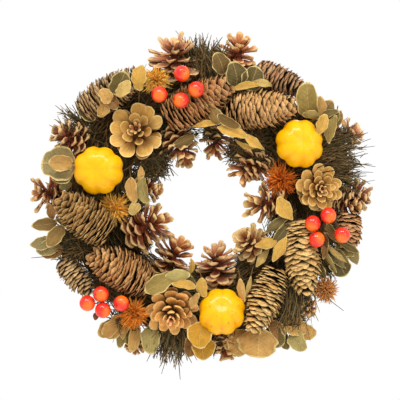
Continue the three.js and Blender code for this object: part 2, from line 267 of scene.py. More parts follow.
def add_plates(mesh, template, p0, p1, p2, across, half_width, outline, thickness, tint,
               cup, wave, rng, bulge=None):
    """Adds a shell along each curve p0-p1-p2, `half_width` wide either way along `across`.

    outline(s) shapes the width and thickness(s) the body. The sides bend by `cup` and the rim
    waves by `wave` towards the front. bulge(s, x) thickens the back.
    """
    count = len(p0)
    s, x, rim, side = template.s, template.x, template.rim, template.side
    a = s[None, :, None]
    spine = (1 - a) ** 2 * p0[:, None] + 2 * a * (1 - a) * p1[:, None] + a * a * p2[:, None]
    slope = unit((1 - a) * (p1 - p0)[:, None] + a * (p2 - p1)[:, None])
    across = across[:, None]
    normal = unit(np.cross(across, slope))
    tone = rng.random(count)
    body = side * thickness(s) / 2 * np.sqrt(np.clip(1 - rim ** 4, 0, 1))
    if bulge is not None:
        body = body - np.where(side < 0, bulge(s, x), 0)
    phase = tone[:, None] * 40
    ripple = np.sin(phase + 9 * s + 2.5 * x) * 0.6 + np.sin(phase * 1.7 + 17 * s - 6 * x) * 0.4
    cup = np.broadcast_to(cup, (count,))[:, None]
    wave = np.broadcast_to(wave, (count,))[:, None]
    offset = body + cup * x * x + wave * ripple * rim ** 3
    reach = half_width[:, None] * x * outline(s)
    points = spine + across * reach[..., None] + normal * offset[..., None]
    size = len(s)
    quads = (template.quads[None] + (np.arange(count) * size)[:, None, None]).reshape(-1, 4)
    mesh.add(points.reshape(-1, 3), quads, NO_FACES, np.repeat(tint, size, axis=0),
             plates(x, s, tone[:, None]), np.tile(np.where(side == 0, 1.0, rim * 0.98), count))


def add_strands(mesh, paths, radii, tint, sides, tone=None, rng=None):
    """Adds a tube along each path (count, steps, 3), closed at its ends.

    radii goes with the paths' steps and tint with their count, or either is one value for all.
    """
    count, steps, _ = paths.shape
    radii = np.broadcast_to(radii, (count, steps))
    tint = np.broadcast_to(tint, (count, 3))
    tangent = unit(np.gradient(paths, axis=1))
    lead = np.eye(3)[np.argmin(abs(tangent.mean(axis=1)), axis=1)][:, None]
    first = unit(lead - tangent * (lead * tangent).sum(-1, keepdims=True))
    second = np.cross(tangent, first)
    turn = np.arange(sides) / sides * 2 * np.pi
    ring = (first[:, :, None] * np.cos(turn)[None, None, :, None]
            + second[:, :, None] * np.sin(turn)[None, None, :, None])
    tube = paths[:, :, None] + ring * radii[:, :, None, None]
    ends = np.stack([paths[:, 0] - tangent[:, 0] * radii[:, :1],
                     paths[:, -1] + tangent[:, -1] * radii[:, -1:]], axis=1)
    points = np.concatenate([tube.reshape(count, -1, 3), ends], axis=1)
    size = steps * sides + 2
    ids = tube_ids(steps, sides)
    quads = grid_quads(ids)[:, ::-1]
    triangles = np.concatenate([fan(size - 2, ids[0])[:, FLIPPED], fan(size - 1, ids[-1])])
    shift = (np.arange(count) * size)[:, None, None]
    tone = rng.random(count) if tone is None else np.full(count, tone)
    along = np.concatenate([np.repeat(np.linspace(0, 1, steps), sides), [0, 1]])
    turned = np.concatenate([np.tile(turn / np.pi - 1, steps), [0, 0]])
    mesh.add(points.reshape(-1, 3), (quads[None] + shift).reshape(-1, 4),
             (triangles[None] + shift).reshape(-1, 3), np.repeat(tint, size, axis=0),
             plates(turned, along, tone[:, None]), 0.0)


def add_ring(mesh, path, radius, tint, sides):
    """Adds a tube along a closed path (steps, 3)."""
    steps = len(path)
    tangent = unit(np.roll(path, -1, axis=0) - np.roll(path, 1, axis=0))
    first = unit(np.cross(tangent, [0.0, 1.0, 0.0]))
    second = np.cross(tangent, first)
    turn = (np.arange(sides) + 0.5) / sides * 2 * np.pi
    ring = (first[:, None] * np.cos(turn)[None, :, None]
            + second[:, None] * np.sin(turn)[None, :, None])
    points = path[:, None] + ring * radius
    along = np.linspace(0, 1, steps)[:, None]
    mesh.add(points.reshape(-1, 3), grid_quads(tube_ids(steps, sides, True))[:, ::-1], NO_FACES,
             tint, plates(turn / np.pi - 1, along, EVEN_TONE), 0.0)


def add_lathe(mesh, out, up, sides, tint, shape=None):
    """Adds a closed round body: rings at (out, up) from its base pole to its tip pole.

    shape(angle, along) scales each ring's reach.
    """
    along = np.linspace(0, 1, len(out))[1:-1, None]
    turn = np.arange(sides)[None] / sides * 2 * np.pi
    reach = out[1:-1, None] * (np.ones_like(turn) if shape is None else shape(turn, along))
    rings = around(turn, reach, np.broadcast_to(up[1:-1, None], reach.shape))
    poles = np.array([[0, up[0], 0], [0, up[-1], 0]])
    points = np.concatenate([rings.reshape(-1, 3), poles])
    count = len(along) * sides
    ids = tube_ids(len(along), sides)
    triangles = np.concatenate([fan(count, ids[0]), fan(count + 1, ids[-1])[:, FLIPPED]])
    plate = np.concatenate([plates(turn / np.pi - 1, along, EVEN_TONE),
                            [[0, 0, EVEN_TONE], [0, 1, EVEN_TONE]]])
    mesh.add(points, grid_quads(ids), triangles, tint, plate, 0.0)
    return points


class Seat:
    """The place of a piece on the wreath, with its own axes x, y (base to tip) and z."""

    def __init__(self, base, axis, length, width):
        self.axis = unit(np.array(axis, float))
        towards = FRONT if abs(self.axis @ FRONT) < 0.8 else UP
        self.across = unit(np.cross(self.axis, towards))
        self.face = np.cross(self.across, self.axis)
        self.base, self.length, self.width = np.array(base, float), length, width

    def grown(self, size):
        """The same seat, larger by `size` about its middle."""
        self.base = self.base + self.axis * self.length * (1 - size) / 2
        self.length, self.width = self.length * size, self.width * size
        return self

    def place(self, points):
        return (self.base + points[:, :1] * self.across + points[:, 1:2] * self.axis
                + points[:, 2:] * self.face)


def seat_of(node, heading, lean):
    """The seat of a CAD node whose tip points along heading and lean."""
    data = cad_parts[node].data
    points = np.empty(len(data.vertices) * 3, np.float32)
    data.vertices.foreach_get("co", points)
    points = points.reshape(-1, 3).astype(float) / MM
    seat = Seat((0, 0, 0), pointing(heading, lean), 0, 0)
    lows = [(points @ v).min() for v in (seat.across, seat.axis, seat.face)]
    highs = [(points @ v).max() for v in (seat.across, seat.axis, seat.face)]
    seat.base = ((lows[0] + highs[0]) / 2 * seat.across + lows[1] * seat.axis
                 + (lows[2] + highs[2]) / 2 * seat.face)
    seat.length = highs[1] - lows[1]
    seat.width = (highs[0] - lows[0] + highs[2] - lows[2]) / 2
    return seat


# ---------------------------------------------------------------- materials

class Surface:
    """A procedural material, with short ways to add its nodes."""

    def __init__(self, name, **sockets):
        self.material = bpy.data.materials.new(name)
        self.material.use_nodes = True
        self.nodes, self.links = self.material.node_tree.nodes, self.material.node_tree.links
        self.shader = self.nodes["Principled BSDF"]
        for socket, value in sockets.items():
            self.shader.inputs[socket.replace("_", " ")].default_value = value
        self.plate = self.attribute("plate", "Vector")
        self.across, self.along, self.tone = self.split(self.plate)
        self.rim = self.attribute("rim", "Fac")
        self.tint = self.attribute("tint", "Color")
        self.object = self.nodes.new("ShaderNodeTexCoord").outputs["Object"]

    def put(self, socket, value):
        if isinstance(value, bpy.types.NodeSocket):
            self.links.new(value, socket)
        else:
            socket.default_value = value

    def attribute(self, name, output):
        node = self.nodes.new("ShaderNodeAttribute")
        node.attribute_name = name
        return node.outputs[output]

    def split(self, vector):
        node = self.nodes.new("ShaderNodeSeparateXYZ")
        self.put(node.inputs[0], vector)
        return node.outputs[:3]

    def join(self, x, y, z):
        node = self.nodes.new("ShaderNodeCombineXYZ")
        for socket, value in zip(node.inputs, (x, y, z)):
            self.put(socket, value)
        return node.outputs[0]

    def math(self, operation, a, b=0.0):
        node = self.nodes.new("ShaderNodeMath")
        node.operation = operation
        self.put(node.inputs[0], a)
        self.put(node.inputs[1], b)
        return node.outputs[0]

    def times(self, a, b):
        return self.math("MULTIPLY", a, b)

    def plus(self, a, b):
        return self.math("ADD", a, b)

    def noise(self, scale, detail=3.0, roughness=0.6, coordinates=None):
        node = self.nodes.new("ShaderNodeTexNoise")
        self.put(node.inputs["Vector"], coordinates or self.object)
        for socket, value in (("Scale", scale), ("Detail", detail), ("Roughness", roughness)):
            node.inputs[socket].default_value = value
        return node.outputs["Fac"]

    def ramp(self, value, low, high, to_low=0.0, to_high=1.0):
        """Maps low..high smoothly on to to_low..to_high."""
        node = self.nodes.new("ShaderNodeMapRange")
        node.interpolation_type = "SMOOTHSTEP"
        for socket, number in zip(list(node.inputs)[:5], (value, low, high, to_low, to_high)):
            self.put(socket, number)
        return node.outputs[0]

    def mix(self, factor, a, b):
        node = self.nodes.new("ShaderNodeMix")
        node.data_type = "RGBA"
        self.put(node.inputs[0], factor)
        for i, colour in ((6, a), (7, b)):
            self.put(node.inputs[i], colour if isinstance(colour, bpy.types.NodeSocket) else (*colour, 1.0))
        return node.outputs[2]

    def shade(self, colour, factor):
        """The colour times a grey factor."""
        node = self.nodes.new("ShaderNodeVectorMath")
        node.operation = "SCALE"
        self.put(node.inputs[0], colour)
        self.put(node.inputs["Scale"], factor)
        return node.outputs[0]

    def rough(self, grain, low, high):
        return self.ramp(grain, 0.3, 0.7, low, high)

    def finish(self, colour, roughness, height, depth):
        """Links the colour, the roughness and a bump of `height`, and gives back the material."""
        bump = self.nodes.new("ShaderNodeBump")
        bump.inputs["Strength"].default_value = 1.0
        bump.inputs["Distance"].default_value = depth * MM
        self.put(bump.inputs["Height"], height)
        for socket, value in (("Base Color", colour), ("Roughness", roughness),
                              ("Normal", bump.outputs[0])):
            self.put(self.shader.inputs[socket], value)
        return self.material


TONE_SPREAD = 57.0


def streaks(s, across_scale, along_scale):
    """Noise drawn out along each shell, different on every one."""
    return s.noise(1.0, coordinates=s.join(
        s.times(s.across, across_scale), s.times(s.along, along_scale), s.times(s.tone, TONE_SPREAD)))


def scale_material(name, rim_light, dark, painted_shade_until):
    """Woody cone scale: streaked, with a pale worn rim, and painted shade towards each scale's foot deep
    inside the cone.
    """
    s = Surface(name, Roughness=0.72, Specular_IOR_Level=0.15)
    streak = streaks(s, 5.0, 1.6)
    blotch = s.noise(330.0, 4.0)
    colour = s.shade(s.tint, s.ramp(streak, 0.3, 0.72, 0.62, 1.22))
    colour = s.mix(s.ramp(blotch, 0.5, 0.78, 0.0, 0.55), colour, s.shade(s.tint, 0.55))
    worn = s.times(s.ramp(s.rim, 0.86, 0.99), s.ramp(s.along, 0.45, 0.75))
    worn = s.times(worn, s.ramp(blotch, 0.3, 0.6, 0.45, 0.95))
    colour = s.mix(worn, colour, rim_light)
    # Painted shade: towards each scale's foot, deep inside the cone, the colour goes to `dark`.
    colour = s.mix(s.ramp(s.along, 0.45, painted_shade_until, 1.0, 0.0), colour, dark)
    height = s.plus(streak, s.times(s.noise(1500.0, 2.0), 0.5))
    return s.finish(colour, s.rough(blotch, 0.62, 0.82), height, 0.35)


def pine_material():
    """Open pine scale: red-brown blade, and a thick pale weathered head with a dark boss."""
    s = Surface("pine_scale", Roughness=0.7, Specular_IOR_Level=0.16)
    streak = streaks(s, 4.0, 2.0)
    blotch = s.noise(420.0, 4.0)
    colour = s.shade(s.tint, s.ramp(streak, 0.3, 0.72, 0.55, 1.25))
    colour = s.mix(s.ramp(s.along, 0.4, 0.82, 0.8, 0.0), colour, srgb(164, 82, 54))
    head = s.times(s.ramp(s.along, 0.76, 0.9), s.ramp(blotch, 0.25, 0.62, 0.3, 0.9))
    colour = s.mix(head, colour, s.mix(0.7, s.tint, srgb(226, 200, 158)))
    tip = s.times(s.ramp(s.along, 0.93, 1.0), s.ramp(blotch, 0.35, 0.6, 0.1, 0.7))
    colour = s.mix(tip, colour, srgb(150, 130, 106))
    edge = s.times(s.ramp(s.rim, 0.8, 0.96), s.ramp(s.along, 0.35, 0.7, 0.0, 0.75))
    colour = s.mix(edge, colour, srgb(232, 194, 138))
    # Painted shade: dark towards each scale's foot, deep inside the cone.
    colour = s.mix(s.ramp(s.along, 0.05, 0.48, 0.95, 0.0), colour, srgb(84, 40, 22))
    height = s.plus(streak, s.times(blotch, 0.9))
    return s.finish(colour, s.rough(blotch, 0.6, 0.8), height, 0.45)


def petal_material():
    """Rosette scale: golden, satin, with fine lines along it, a cream rim, and painted shade that turns it
    brown and then dark towards its foot in the heart.
    """
    s = Surface("rosette_scale", Roughness=0.6, Specular_IOR_Level=0.2)
    streak = streaks(s, 9.0, 1.3)
    blotch = s.noise(260.0, 4.0)
    colour = s.shade(s.tint, s.ramp(streak, 0.3, 0.7, 0.78, 1.14))
    colour = s.mix(s.ramp(blotch, 0.52, 0.8, 0.0, 0.5), colour, srgb(178, 124, 62))
    worn = s.times(s.ramp(s.rim, 0.8, 0.98), s.ramp(s.along, 0.4, 0.7, 0.0, 0.8))
    colour = s.mix(worn, colour, srgb(240, 215, 160))
    # Painted shade: brown, then nearly black, towards each scale's foot in the rosette's heart.
    colour = s.mix(s.ramp(s.along, 0.2, 0.72, 0.94, 0.0), colour, srgb(124, 78, 34))
    colour = s.mix(s.ramp(s.along, 0.05, 0.3, 0.9, 0.0), colour, srgb(60, 34, 18))
    height = s.plus(streak, s.times(s.noise(1300.0, 2.0), 0.4))
    return s.finish(colour, s.rough(blotch, 0.5, 0.7), height, 0.3)


def leaf_material():
    """Dried leaf: dull skin with a pale midrib, side veins, blotches and a cream rolled rim."""
    s = Surface("dried_leaf", Roughness=0.66, Specular_IOR_Level=0.18)
    blotch = s.noise(190.0, 5.0, 0.65)
    fine = s.noise(1100.0, 3.0)
    away = s.math("ABSOLUTE", s.across)
    wander = s.times(s.math("SUBTRACT", s.noise(150.0, 2.0), 0.5), 0.25)
    midrib = s.ramp(s.math("ABSOLUTE", s.plus(s.across, wander)), 0.015, 0.075, 1.0, 0.0)
    slant = s.math("SUBTRACT", s.times(s.along, 52.0), s.times(away, 17.0))
    slant = s.plus(slant, s.times(wander, 22.0))
    veins = s.ramp(s.math("SINE", slant), 0.72, 1.0)
    colour = s.shade(s.tint, s.ramp(blotch, 0.3, 0.72, 0.82, 1.14))
    colour = s.mix(s.ramp(fine, 0.52, 0.75, 0.0, 0.35), colour, s.shade(s.tint, 0.5))
    colour = s.mix(s.times(veins, 0.16), colour, srgb(214, 190, 130))
    colour = s.mix(s.times(midrib, 0.32), colour, srgb(220, 195, 135))
    worn = s.times(s.ramp(s.rim, 0.82, 0.95), s.ramp(blotch, 0.25, 0.55, 0.45, 0.95))
    colour = s.mix(worn, colour, srgb(224, 202, 144))
    height = s.plus(s.plus(veins, s.times(midrib, 1.5)),
                    s.times(blotch, 2.5))
    return s.finish(colour, s.rough(blotch, 0.55, 0.78), height, 0.3)


def gourd_material():
    """Gourd skin: waxy yellow, turned orange by painted shade in the grooves and towards the back, with
    faint freckles.
    """
    s = Surface("gourd_skin", Roughness=0.42, Specular_IOR_Level=0.12, Coat_Weight=0.22,
                Coat_Roughness=0.14, Subsurface_Weight=0.12, Subsurface_Scale=0.004)
    s.shader.inputs["Subsurface Radius"].default_value = (1.0, 0.5, 0.05)
    cloud = s.noise(55.0, 3.0)
    freckle = s.noise(900.0, 2.0)
    colour = s.mix(s.ramp(cloud, 0.35, 0.7), s.tint, s.mix(0.5, s.tint, srgb(255, 170, 0)))
    # The rim value here is painted shade in the grooves and towards the back, and on the bottom gourd also
    # its real eye scar.
    colour = s.mix(s.times(s.ramp(s.rim, 0.0, 1.0), 0.75), colour, srgb(244, 150, 6))
    colour = s.mix(s.ramp(freckle, 0.66, 0.8, 0.0, 0.4), colour, srgb(235, 160, 20))
    height = s.plus(s.times(cloud, 3.0), s.times(freckle, 0.15))
    return s.finish(colour, s.rough(cloud, 0.36, 0.5), height, 0.35)


def berry_material():
    """Berry skin: glossy lacquer over a red and orange blush."""
    s = Surface("berry_skin", Roughness=0.26, Specular_IOR_Level=0.3, Coat_Weight=0.25,
                Coat_Roughness=0.08)
    cloud = s.noise(240.0, 3.0)
    colour = s.mix(s.ramp(cloud, 0.4, 0.7, 0.0, 0.35), s.tint, srgb(255, 96, 20))
    colour = s.mix(s.ramp(s.rim, 0.0, 1.0), colour, srgb(70, 40, 22))
    return s.finish(colour, s.rough(cloud, 0.18, 0.3), cloud, 0.12)


def bristle_material(name, root):
    """Dry bristle or twig: streaked, with painted shade that darkens it to `root` where it comes out of the
    mass.
    """
    s = Surface(name, Roughness=0.78, Specular_IOR_Level=0.15)
    grain = s.noise(700.0, 3.0)
    colour = s.shade(s.tint, s.ramp(grain, 0.3, 0.7, 0.6, 1.35))
    # Painted shade: towards each strand's start, where it comes out of the mass, the colour goes to `root`.
    colour = s.mix(s.ramp(s.along, 0.0, 0.5, 0.7, 0.0), colour, root)
    return s.finish(colour, s.rough(grain, 0.65, 0.88), grain, 0.2)


def bark_material():
    """Bark of the ring's twigs: dark, ridged along its length, with pale lenticels."""
    s = Surface("twig_bark", Roughness=0.85, Specular_IOR_Level=0.2)
    ridge = streaks(s, 3.0, 26.0)
    spot = s.noise(520.0, 3.0)
    colour = s.shade(s.tint, s.ramp(ridge, 0.3, 0.7, 0.5, 1.5))
    colour = s.mix(s.ramp(spot, 0.62, 0.74, 0.0, 0.6), colour, srgb(128, 104, 74))
    return s.finish(colour, s.rough(spot, 0.7, 0.92), s.plus(ridge, spot), 0.5)


def wire_material(name, metal, rust, metallic, rust_from):
    """Drawn wire: dull metal or paint, with rust where it has worn."""
    s = Surface(name, Roughness=0.4, Metallic=metallic)
    patch = s.noise(130.0, 5.0, 0.7)
    fine = s.noise(1800.0, 2.0)
    worn = s.ramp(patch, rust_from, rust_from + 0.12)
    colour = s.mix(worn, s.mix(s.ramp(fine, 0.4, 0.7, 0.0, 0.4), metal, metal * 0.6), rust)
    s.put(s.shader.inputs["Metallic"], s.ramp(worn, 0.0, 1.0, metallic, 0.1))
    return s.finish(colour, s.ramp(patch, 0.35, 0.65, 0.3, 0.75), s.plus(patch, fine), 0.12)


# The third value is the painted shade deep inside the cone, and the fourth is how far along a scale it
# fades out.
SPRUCE = scale_material("spruce_scale", srgb(226, 196, 146), srgb(66, 40, 18), 0.86)
DARK_SPRUCE = scale_material("dark_spruce_scale", srgb(146, 120, 92), srgb(84, 58, 38), 0.8)
PINE = pine_material()
PETAL = petal_material()
LEAF = leaf_material()
GOURD = gourd_material()
BERRY = berry_material()
# The second value of each is the painted shade at the strand's start.
THISTLE = bristle_material("thistle_bristle", srgb(192, 98, 30))
NEEDLE = bristle_material("dry_needle", srgb(60, 46, 21))
STEM = bristle_material("paper_stem", srgb(60, 40, 24))
BARK = bark_material()
FRAME_WIRE = wire_material("frame_wire", srgb(54, 66, 50), srgb(104, 62, 36), 0.35, 0.6)
BINDING = wire_material("binding_wire", srgb(118, 104, 82), srgb(112, 68, 40), 0.8, 0.52)
LOOP = wire_material("loop_wire", srgb(172, 170, 164), srgb(120, 84, 56), 0.95, 0.68)


# ---------------------------------------------------------------- cones

SCALE_TEMPLATE = Template(7, 7, 0.8)
PADDLE_TEMPLATE = Template(9, 9, 0.5)
PETAL_TEMPLATE = Template(11, 11, 0.85)


def spruce_girth(t):
    """A long cone's radius at t along it, as a share of its half width."""
    return np.clip(1.02 * np.sin(np.pi * np.clip(0.2 + 0.74 * t, 0, 1)) ** 0.55, 0.16, 1.0)


def spruce_outline(s):
    """A scale widens from its foot and comes to a blunt point at its free edge."""
    return (0.42 + 0.58 * smoothstep(0.05, 0.62, s)) * (1 - 0.42 * smoothstep(0.68, 1.0, s))


SPRUCE_CROWDING = 1.34
SPRUCE_SCALE_AREA = 58
LONGEST_SPRUCE_SCALE = 17


def spruce_cone(name, seat, colours, surface, openness, closing=0.5, replaces=()):
    """A long cone: wide thin scales in a spiral round a core, standing open towards its base."""
    rng = seeded(name)
    mesh = Mesh()
    length, radius = seat.length, seat.width / 2
    along = np.linspace(0, 1, 200)
    girth = np.cumsum(spruce_girth(along))
    count = int(SPRUCE_CROWDING * 2 * np.pi * radius * length * spruce_girth(along).mean()
                / SPRUCE_SCALE_AREA)
    order = (np.arange(count) + 0.5) / count
    t = np.interp(order * girth[-1], girth, along)
    azimuth = np.arange(count) * GOLDEN_ANGLE + 0.10 * rng.standard_normal(count)
    reach = radius * spruce_girth(t) * (1 + 0.04 * rng.standard_normal(count))
    tip_up = length * (0.05 + 0.95 * t) + 0.5 * rng.standard_normal(count)
    opening = np.radians(openness * (1 - closing * t ** 1.5) + 5 * rng.standard_normal(count))
    core = 0.2 * reach
    rise = np.minimum((reach - core) / np.tan(opening), LONGEST_SPRUCE_SCALE)
    foot = around(azimuth, core, tip_up - rise)
    knee = around(azimuth, 0.66 * reach, tip_up - rise * 0.66)
    tip = around(azimuth, reach, tip_up)
    half_width = (2.4 + 0.285 * reach) * (1 + 0.08 * rng.standard_normal(count))
    add_plates(mesh, SCALE_TEMPLATE, foot, knee, tip, side_of(azimuth), half_width,
               spruce_outline, lambda s: 1.2 - 0.4 * s, varied(rng, colours, count, 0.1),
               cup=0.14 * half_width, wave=0.55, rng=rng)
    core_t = np.linspace(0, 1, 14)
    core_out = 0.3 * radius * np.sin(np.pi * core_t) ** 0.5
    add_lathe(mesh, core_out, length * (0.01 + 0.93 * core_t), 12, srgb(42, 26, 15))
    build(name, mesh.moved(seat), surface, replaces=replaces)


RED_TAN = [(212, 148, 98), (192, 124, 76), (222, 164, 116)]
GOLD_TAN = [(232, 180, 124), (218, 164, 104), (238, 190, 140)]
STRAW = [(226, 184, 120), (212, 166, 102), (234, 196, 136)]
UMBER = [(194, 150, 94), (176, 130, 78), (208, 166, 108)]
PEACH = [(222, 162, 106), (204, 140, 88), (232, 178, 124)]
TAWNY = [(202, 144, 98), (182, 122, 82), (214, 162, 118)]
ROSY = [(194, 146, 110), (174, 126, 94), (202, 162, 126)]
ASH = [(212, 174, 128), (192, 152, 108), (222, 188, 144)]

# Each long cone: heading of its tip, lean, colours, material, how far its scales stand open, and
# how far it is moved in x, y and z.
SPRUCE_CONES = {
    "spruce_cone_top": (29, 10, RED_TAN, SPRUCE, 74, (0, 0, 0)),
    "spruce_cone_upper_right": (5, 8, GOLD_TAN, SPRUCE, 72, (0, 0, 0)),
    "spruce_cone_left": (143, 9, UMBER, SPRUCE, 78, (0, 0, 0)),
    "spruce_cone_lower_left": (154, 12, PEACH, SPRUCE, 76, (0, 0, 0)),
    "spruce_cone_right": (276, 6, STRAW, SPRUCE, 68, (0, 0, 0)),
    "spruce_cone_lower_right": (248, 10, STRAW, SPRUCE, 75, (0, 0, 0)),
    "spruce_cone_rim_upper_left": (32, 4, ASH, DARK_SPRUCE, 74, (2, 0, -3)),
    "spruce_cone_rim_upper_right": (336, 6, ROSY, DARK_SPRUCE, 66, (1, 0, -5)),
    "spruce_cone_rim_lower_left": (312, 6, ASH, DARK_SPRUCE, 66, (0, 0, 0)),
}


def paddle_outline(s):
    return 0.5 + 0.5 * smoothstep(0.15, 0.72, s) - 0.12 * smoothstep(0.86, 1.0, s)


def paddle_body(s):
    return 1.1 + 1.0 * smoothstep(0.6, 0.92, s)


def paddle_boss(s, x):
    return 1.9 * np.exp(-((s - 0.87) / 0.08) ** 2 - (x / 0.4) ** 2)


def pine_cone(name, seat, colours, fingers=0.0, replaces=()):
    """A small open cone: wide flat scales low down, and long ones that fan out at the tip.

    `fingers` 1 makes the scales few and narrow, so that they stand apart like fingers.
    """
    rng = seeded(name)
    mesh = Mesh()
    length, radius = seat.length, seat.width / 2 * (1.08 + 0.05 * fingers)
    count = int((22 + 1.1 * radius) * (1 - 0.2 * fingers))
    t = (np.arange(count) + 0.5) / count
    azimuth = np.arange(count) * GOLDEN_ANGLE + 0.12 * rng.standard_normal(count)
    # The scales stand a little past level at the base and nearly upright at the tip.
    angle = np.radians(102 - (84 - 16 * fingers) * t ** (1.9 + 0.5 * fingers)
                       + (6 + 5 * fingers) * rng.standard_normal(count))
    foot_up = length * (0.08 + 0.56 * t)
    # The arms end on an egg-shaped surface as large as the cone.
    middle, half_length = 0.42 * length, 0.58 * length
    low = (foot_up - middle) / half_length
    a = (np.sin(angle) / radius) ** 2 + (np.cos(angle) / half_length) ** 2
    b = low * np.cos(angle) / half_length
    arm = (-b + np.sqrt(b * b - a * (low * low - 1))) / a
    arm *= 1 + (0.06 + 0.08 * fingers) * rng.standard_normal(count)
    bent = angle + np.radians(16)
    foot = around(azimuth, 1.6 - 0.8 * t, foot_up)
    knee = foot + around(azimuth, 0.5 * arm * np.sin(bent), 0.5 * arm * np.cos(bent))
    tip = foot + around(azimuth, arm * np.sin(angle), arm * np.cos(angle))
    half_width = radius * (0.36 - (0.13 + 0.06 * fingers) * t) * (1 - 0.1 * fingers)
    half_width *= 1 + 0.1 * rng.standard_normal(count)
    add_plates(mesh, PADDLE_TEMPLATE, foot, knee, tip, side_of(azimuth), half_width,
               paddle_outline, paddle_body, varied(rng, colours, count, 0.12),
               cup=0.3 * half_width, wave=0.7, rng=rng, bulge=paddle_boss)
    core_t = np.linspace(0, 1, 12)
    core_out = 0.2 * radius * np.sin(np.pi * core_t) ** 0.5
    add_lathe(mesh, core_out, length * (0.02 + 0.7 * core_t), 10, srgb(58, 34, 20))
    build(name, mesh.moved(seat), PINE, replaces=replaces)


RUSSET = [(196, 124, 72), (172, 100, 56), (210, 148, 92)]
CHESTNUT = [(164, 104, 60), (138, 84, 48), (184, 128, 76)]
COCOA = [(140, 96, 70), (118, 78, 56), (158, 114, 86)]
CREAM = [(224, 186, 126), (208, 162, 104), (230, 198, 144)]
ROSE = [(202, 142, 112), (182, 120, 92), (214, 162, 132)]
FAWN = [(208, 162, 102), (188, 138, 86), (218, 178, 120)]
LINEN = [(220, 164, 126), (200, 142, 106), (230, 186, 152)]
HONEY = [(228, 152, 94), (212, 134, 82), (232, 172, 122)]
MAUVE = [(164, 112, 88), (142, 92, 72), (178, 132, 106)]
WALNUT = [(142, 92, 52), (120, 74, 42), (160, 112, 64)]
CLAY = [(186, 128, 86), (162, 104, 66), (198, 148, 108)]

# Each small open cone that the CAD has: heading of its tip, lean, colours, how far it is moved
# in x, y and z from the CAD's simpler shape, how finger-like its scales are, and its size.
PINE_CONES = {
    "pine_cone_rim_top_left": (97, 26, LINEN, (3, 0, -2), 0.8, 1.04),
    "pine_cone_rim_top_right": (80, 22, HONEY, (0, 0, 1), 0.5, 1.06),
    "pine_cone_rim_left_upper": (157, 18, COCOA, (4, 0, -2), 0.2, 1.0),
    "pine_cone_rim_left": (182, 18, CLAY, (0, 0, -1), 0.8, 1.08),
    "pine_cone_rim_right_upper": (22, 20, ROSE, (4, 0, -6), 0.3, 1.0),
    "pine_cone_rim_right": (356, 24, MAUVE, (-3, 0, -1), 0.4, 0.96),
    "pine_cone_inner_11_oclock": (296, 18, WALNUT, (-2, -8, 0), 0.2, 1.0),
    "pine_cone_inner_12_oclock": (262, 14, CHESTNUT, (0, -8, 2), 0.3, 1.0),
    "pine_cone_inner_2_oclock": (236, 16, RUSSET, (-2, -8, -2), 0.6, 1.04),
    "pine_cone_inner_3_oclock": (184, 16, FAWN, (2, -6, 3), 0.4, 1.08),
    "pine_cone_inner_4_oclock": (138, 44, CREAM, (0, -6, -3), 0.0, 1.04),
    "pine_cone_inner_6_oclock": (96, 16, LINEN, (1, -8, -2), 0.5, 1.04),
    "pine_cone_inner_7_oclock": (64, 16, RUSSET, (-2, -8, 0), 0.5, 1.08),
    "pine_cone_inner_8_oclock": (26, 14, CHESTNUT, (0, -8, 1), 0.6, 1.06),
}

# Small cones that fill gaps: x, z, y of the base, heading, lean, length, width and colours.
EXTRA_PINE_CONES = {
    "pine_cone_gap_bottom": (22, -132, -26, 274, 14, 32, 24, CHESTNUT),
    "pine_cone_gap_bottom_left": (-63, -134, -20, 250, 10, 24, 22, CHESTNUT),
    "pine_cone_gap_bottom_right": (50, -140, -18, 285, 8, 20, 18, COCOA),
    "pine_cone_gap_lower_right": (100, -103, -38, 318, 14, 18, 18, ROSE),
    "pine_cone_gap_inner_9_oclock": (-68, 14, -22, 350, 14, 30, 26, CHESTNUT),
    "pine_cone_gap_inner_1_oclock": (66, 44, -24, 215, 14, 34, 30, CHESTNUT),
    "pine_cone_gap_left": (-128, -6, -16, 186, 10, 30, 24, COCOA),
    "pine_cone_gap_right": (134, -2, -22, 350, 10, 30, 28, CHESTNUT),
}


LIGHT_PETALS = [(230, 184, 108), (216, 166, 92), (238, 196, 126)]
DEEP_PETALS = [(202, 150, 84), (186, 132, 72), (214, 166, 98)]
HEART_PETALS = [(210, 150, 104), (190, 126, 82), (226, 172, 126)]

# The rings of an open rosette and of a fuller one. For each: scales, how far out and up their
# feet, knees and tips stand, half width, cup and colours.
OPEN_RINGS = [
    (7, (0.10, 0.08), (0.70, 0.14), (0.96, 0.34), 0.29, 1.2, DEEP_PETALS),
    (9, (0.10, 0.22), (0.76, 0.30), (1.02, 0.52), 0.275, 1.8, LIGHT_PETALS),
    (6, (0.10, 0.44), (0.52, 0.46), (0.56, 0.84), 0.20, 2.6, LIGHT_PETALS),
    (3, (0.08, 0.52), (0.32, 0.58), (0.33, 0.92), 0.14, 2.0, LIGHT_PETALS),
    (6, (0.04, 0.60), (0.12, 0.80), (0.22, 1.00), 0.062, 0.6, HEART_PETALS),
]
FULL_RINGS = [
    (8, (0.10, 0.04), (0.72, 0.08), (0.94, 0.26), 0.28, 1.2, DEEP_PETALS),
    (9, (0.10, 0.18), (0.76, 0.24), (1.02, 0.46), 0.26, 1.8, LIGHT_PETALS),
    (8, (0.10, 0.34), (0.64, 0.38), (0.80, 0.66), 0.225, 2.2, LIGHT_PETALS),
    (7, (0.10, 0.46), (0.48, 0.52), (0.56, 0.82), 0.19, 2.2, LIGHT_PETALS),
    (5, (0.08, 0.58), (0.30, 0.66), (0.33, 0.94), 0.14, 1.8, LIGHT_PETALS),
    (5, (0.04, 0.66), (0.10, 0.84), (0.16, 1.00), 0.062, 0.6, HEART_PETALS),
]


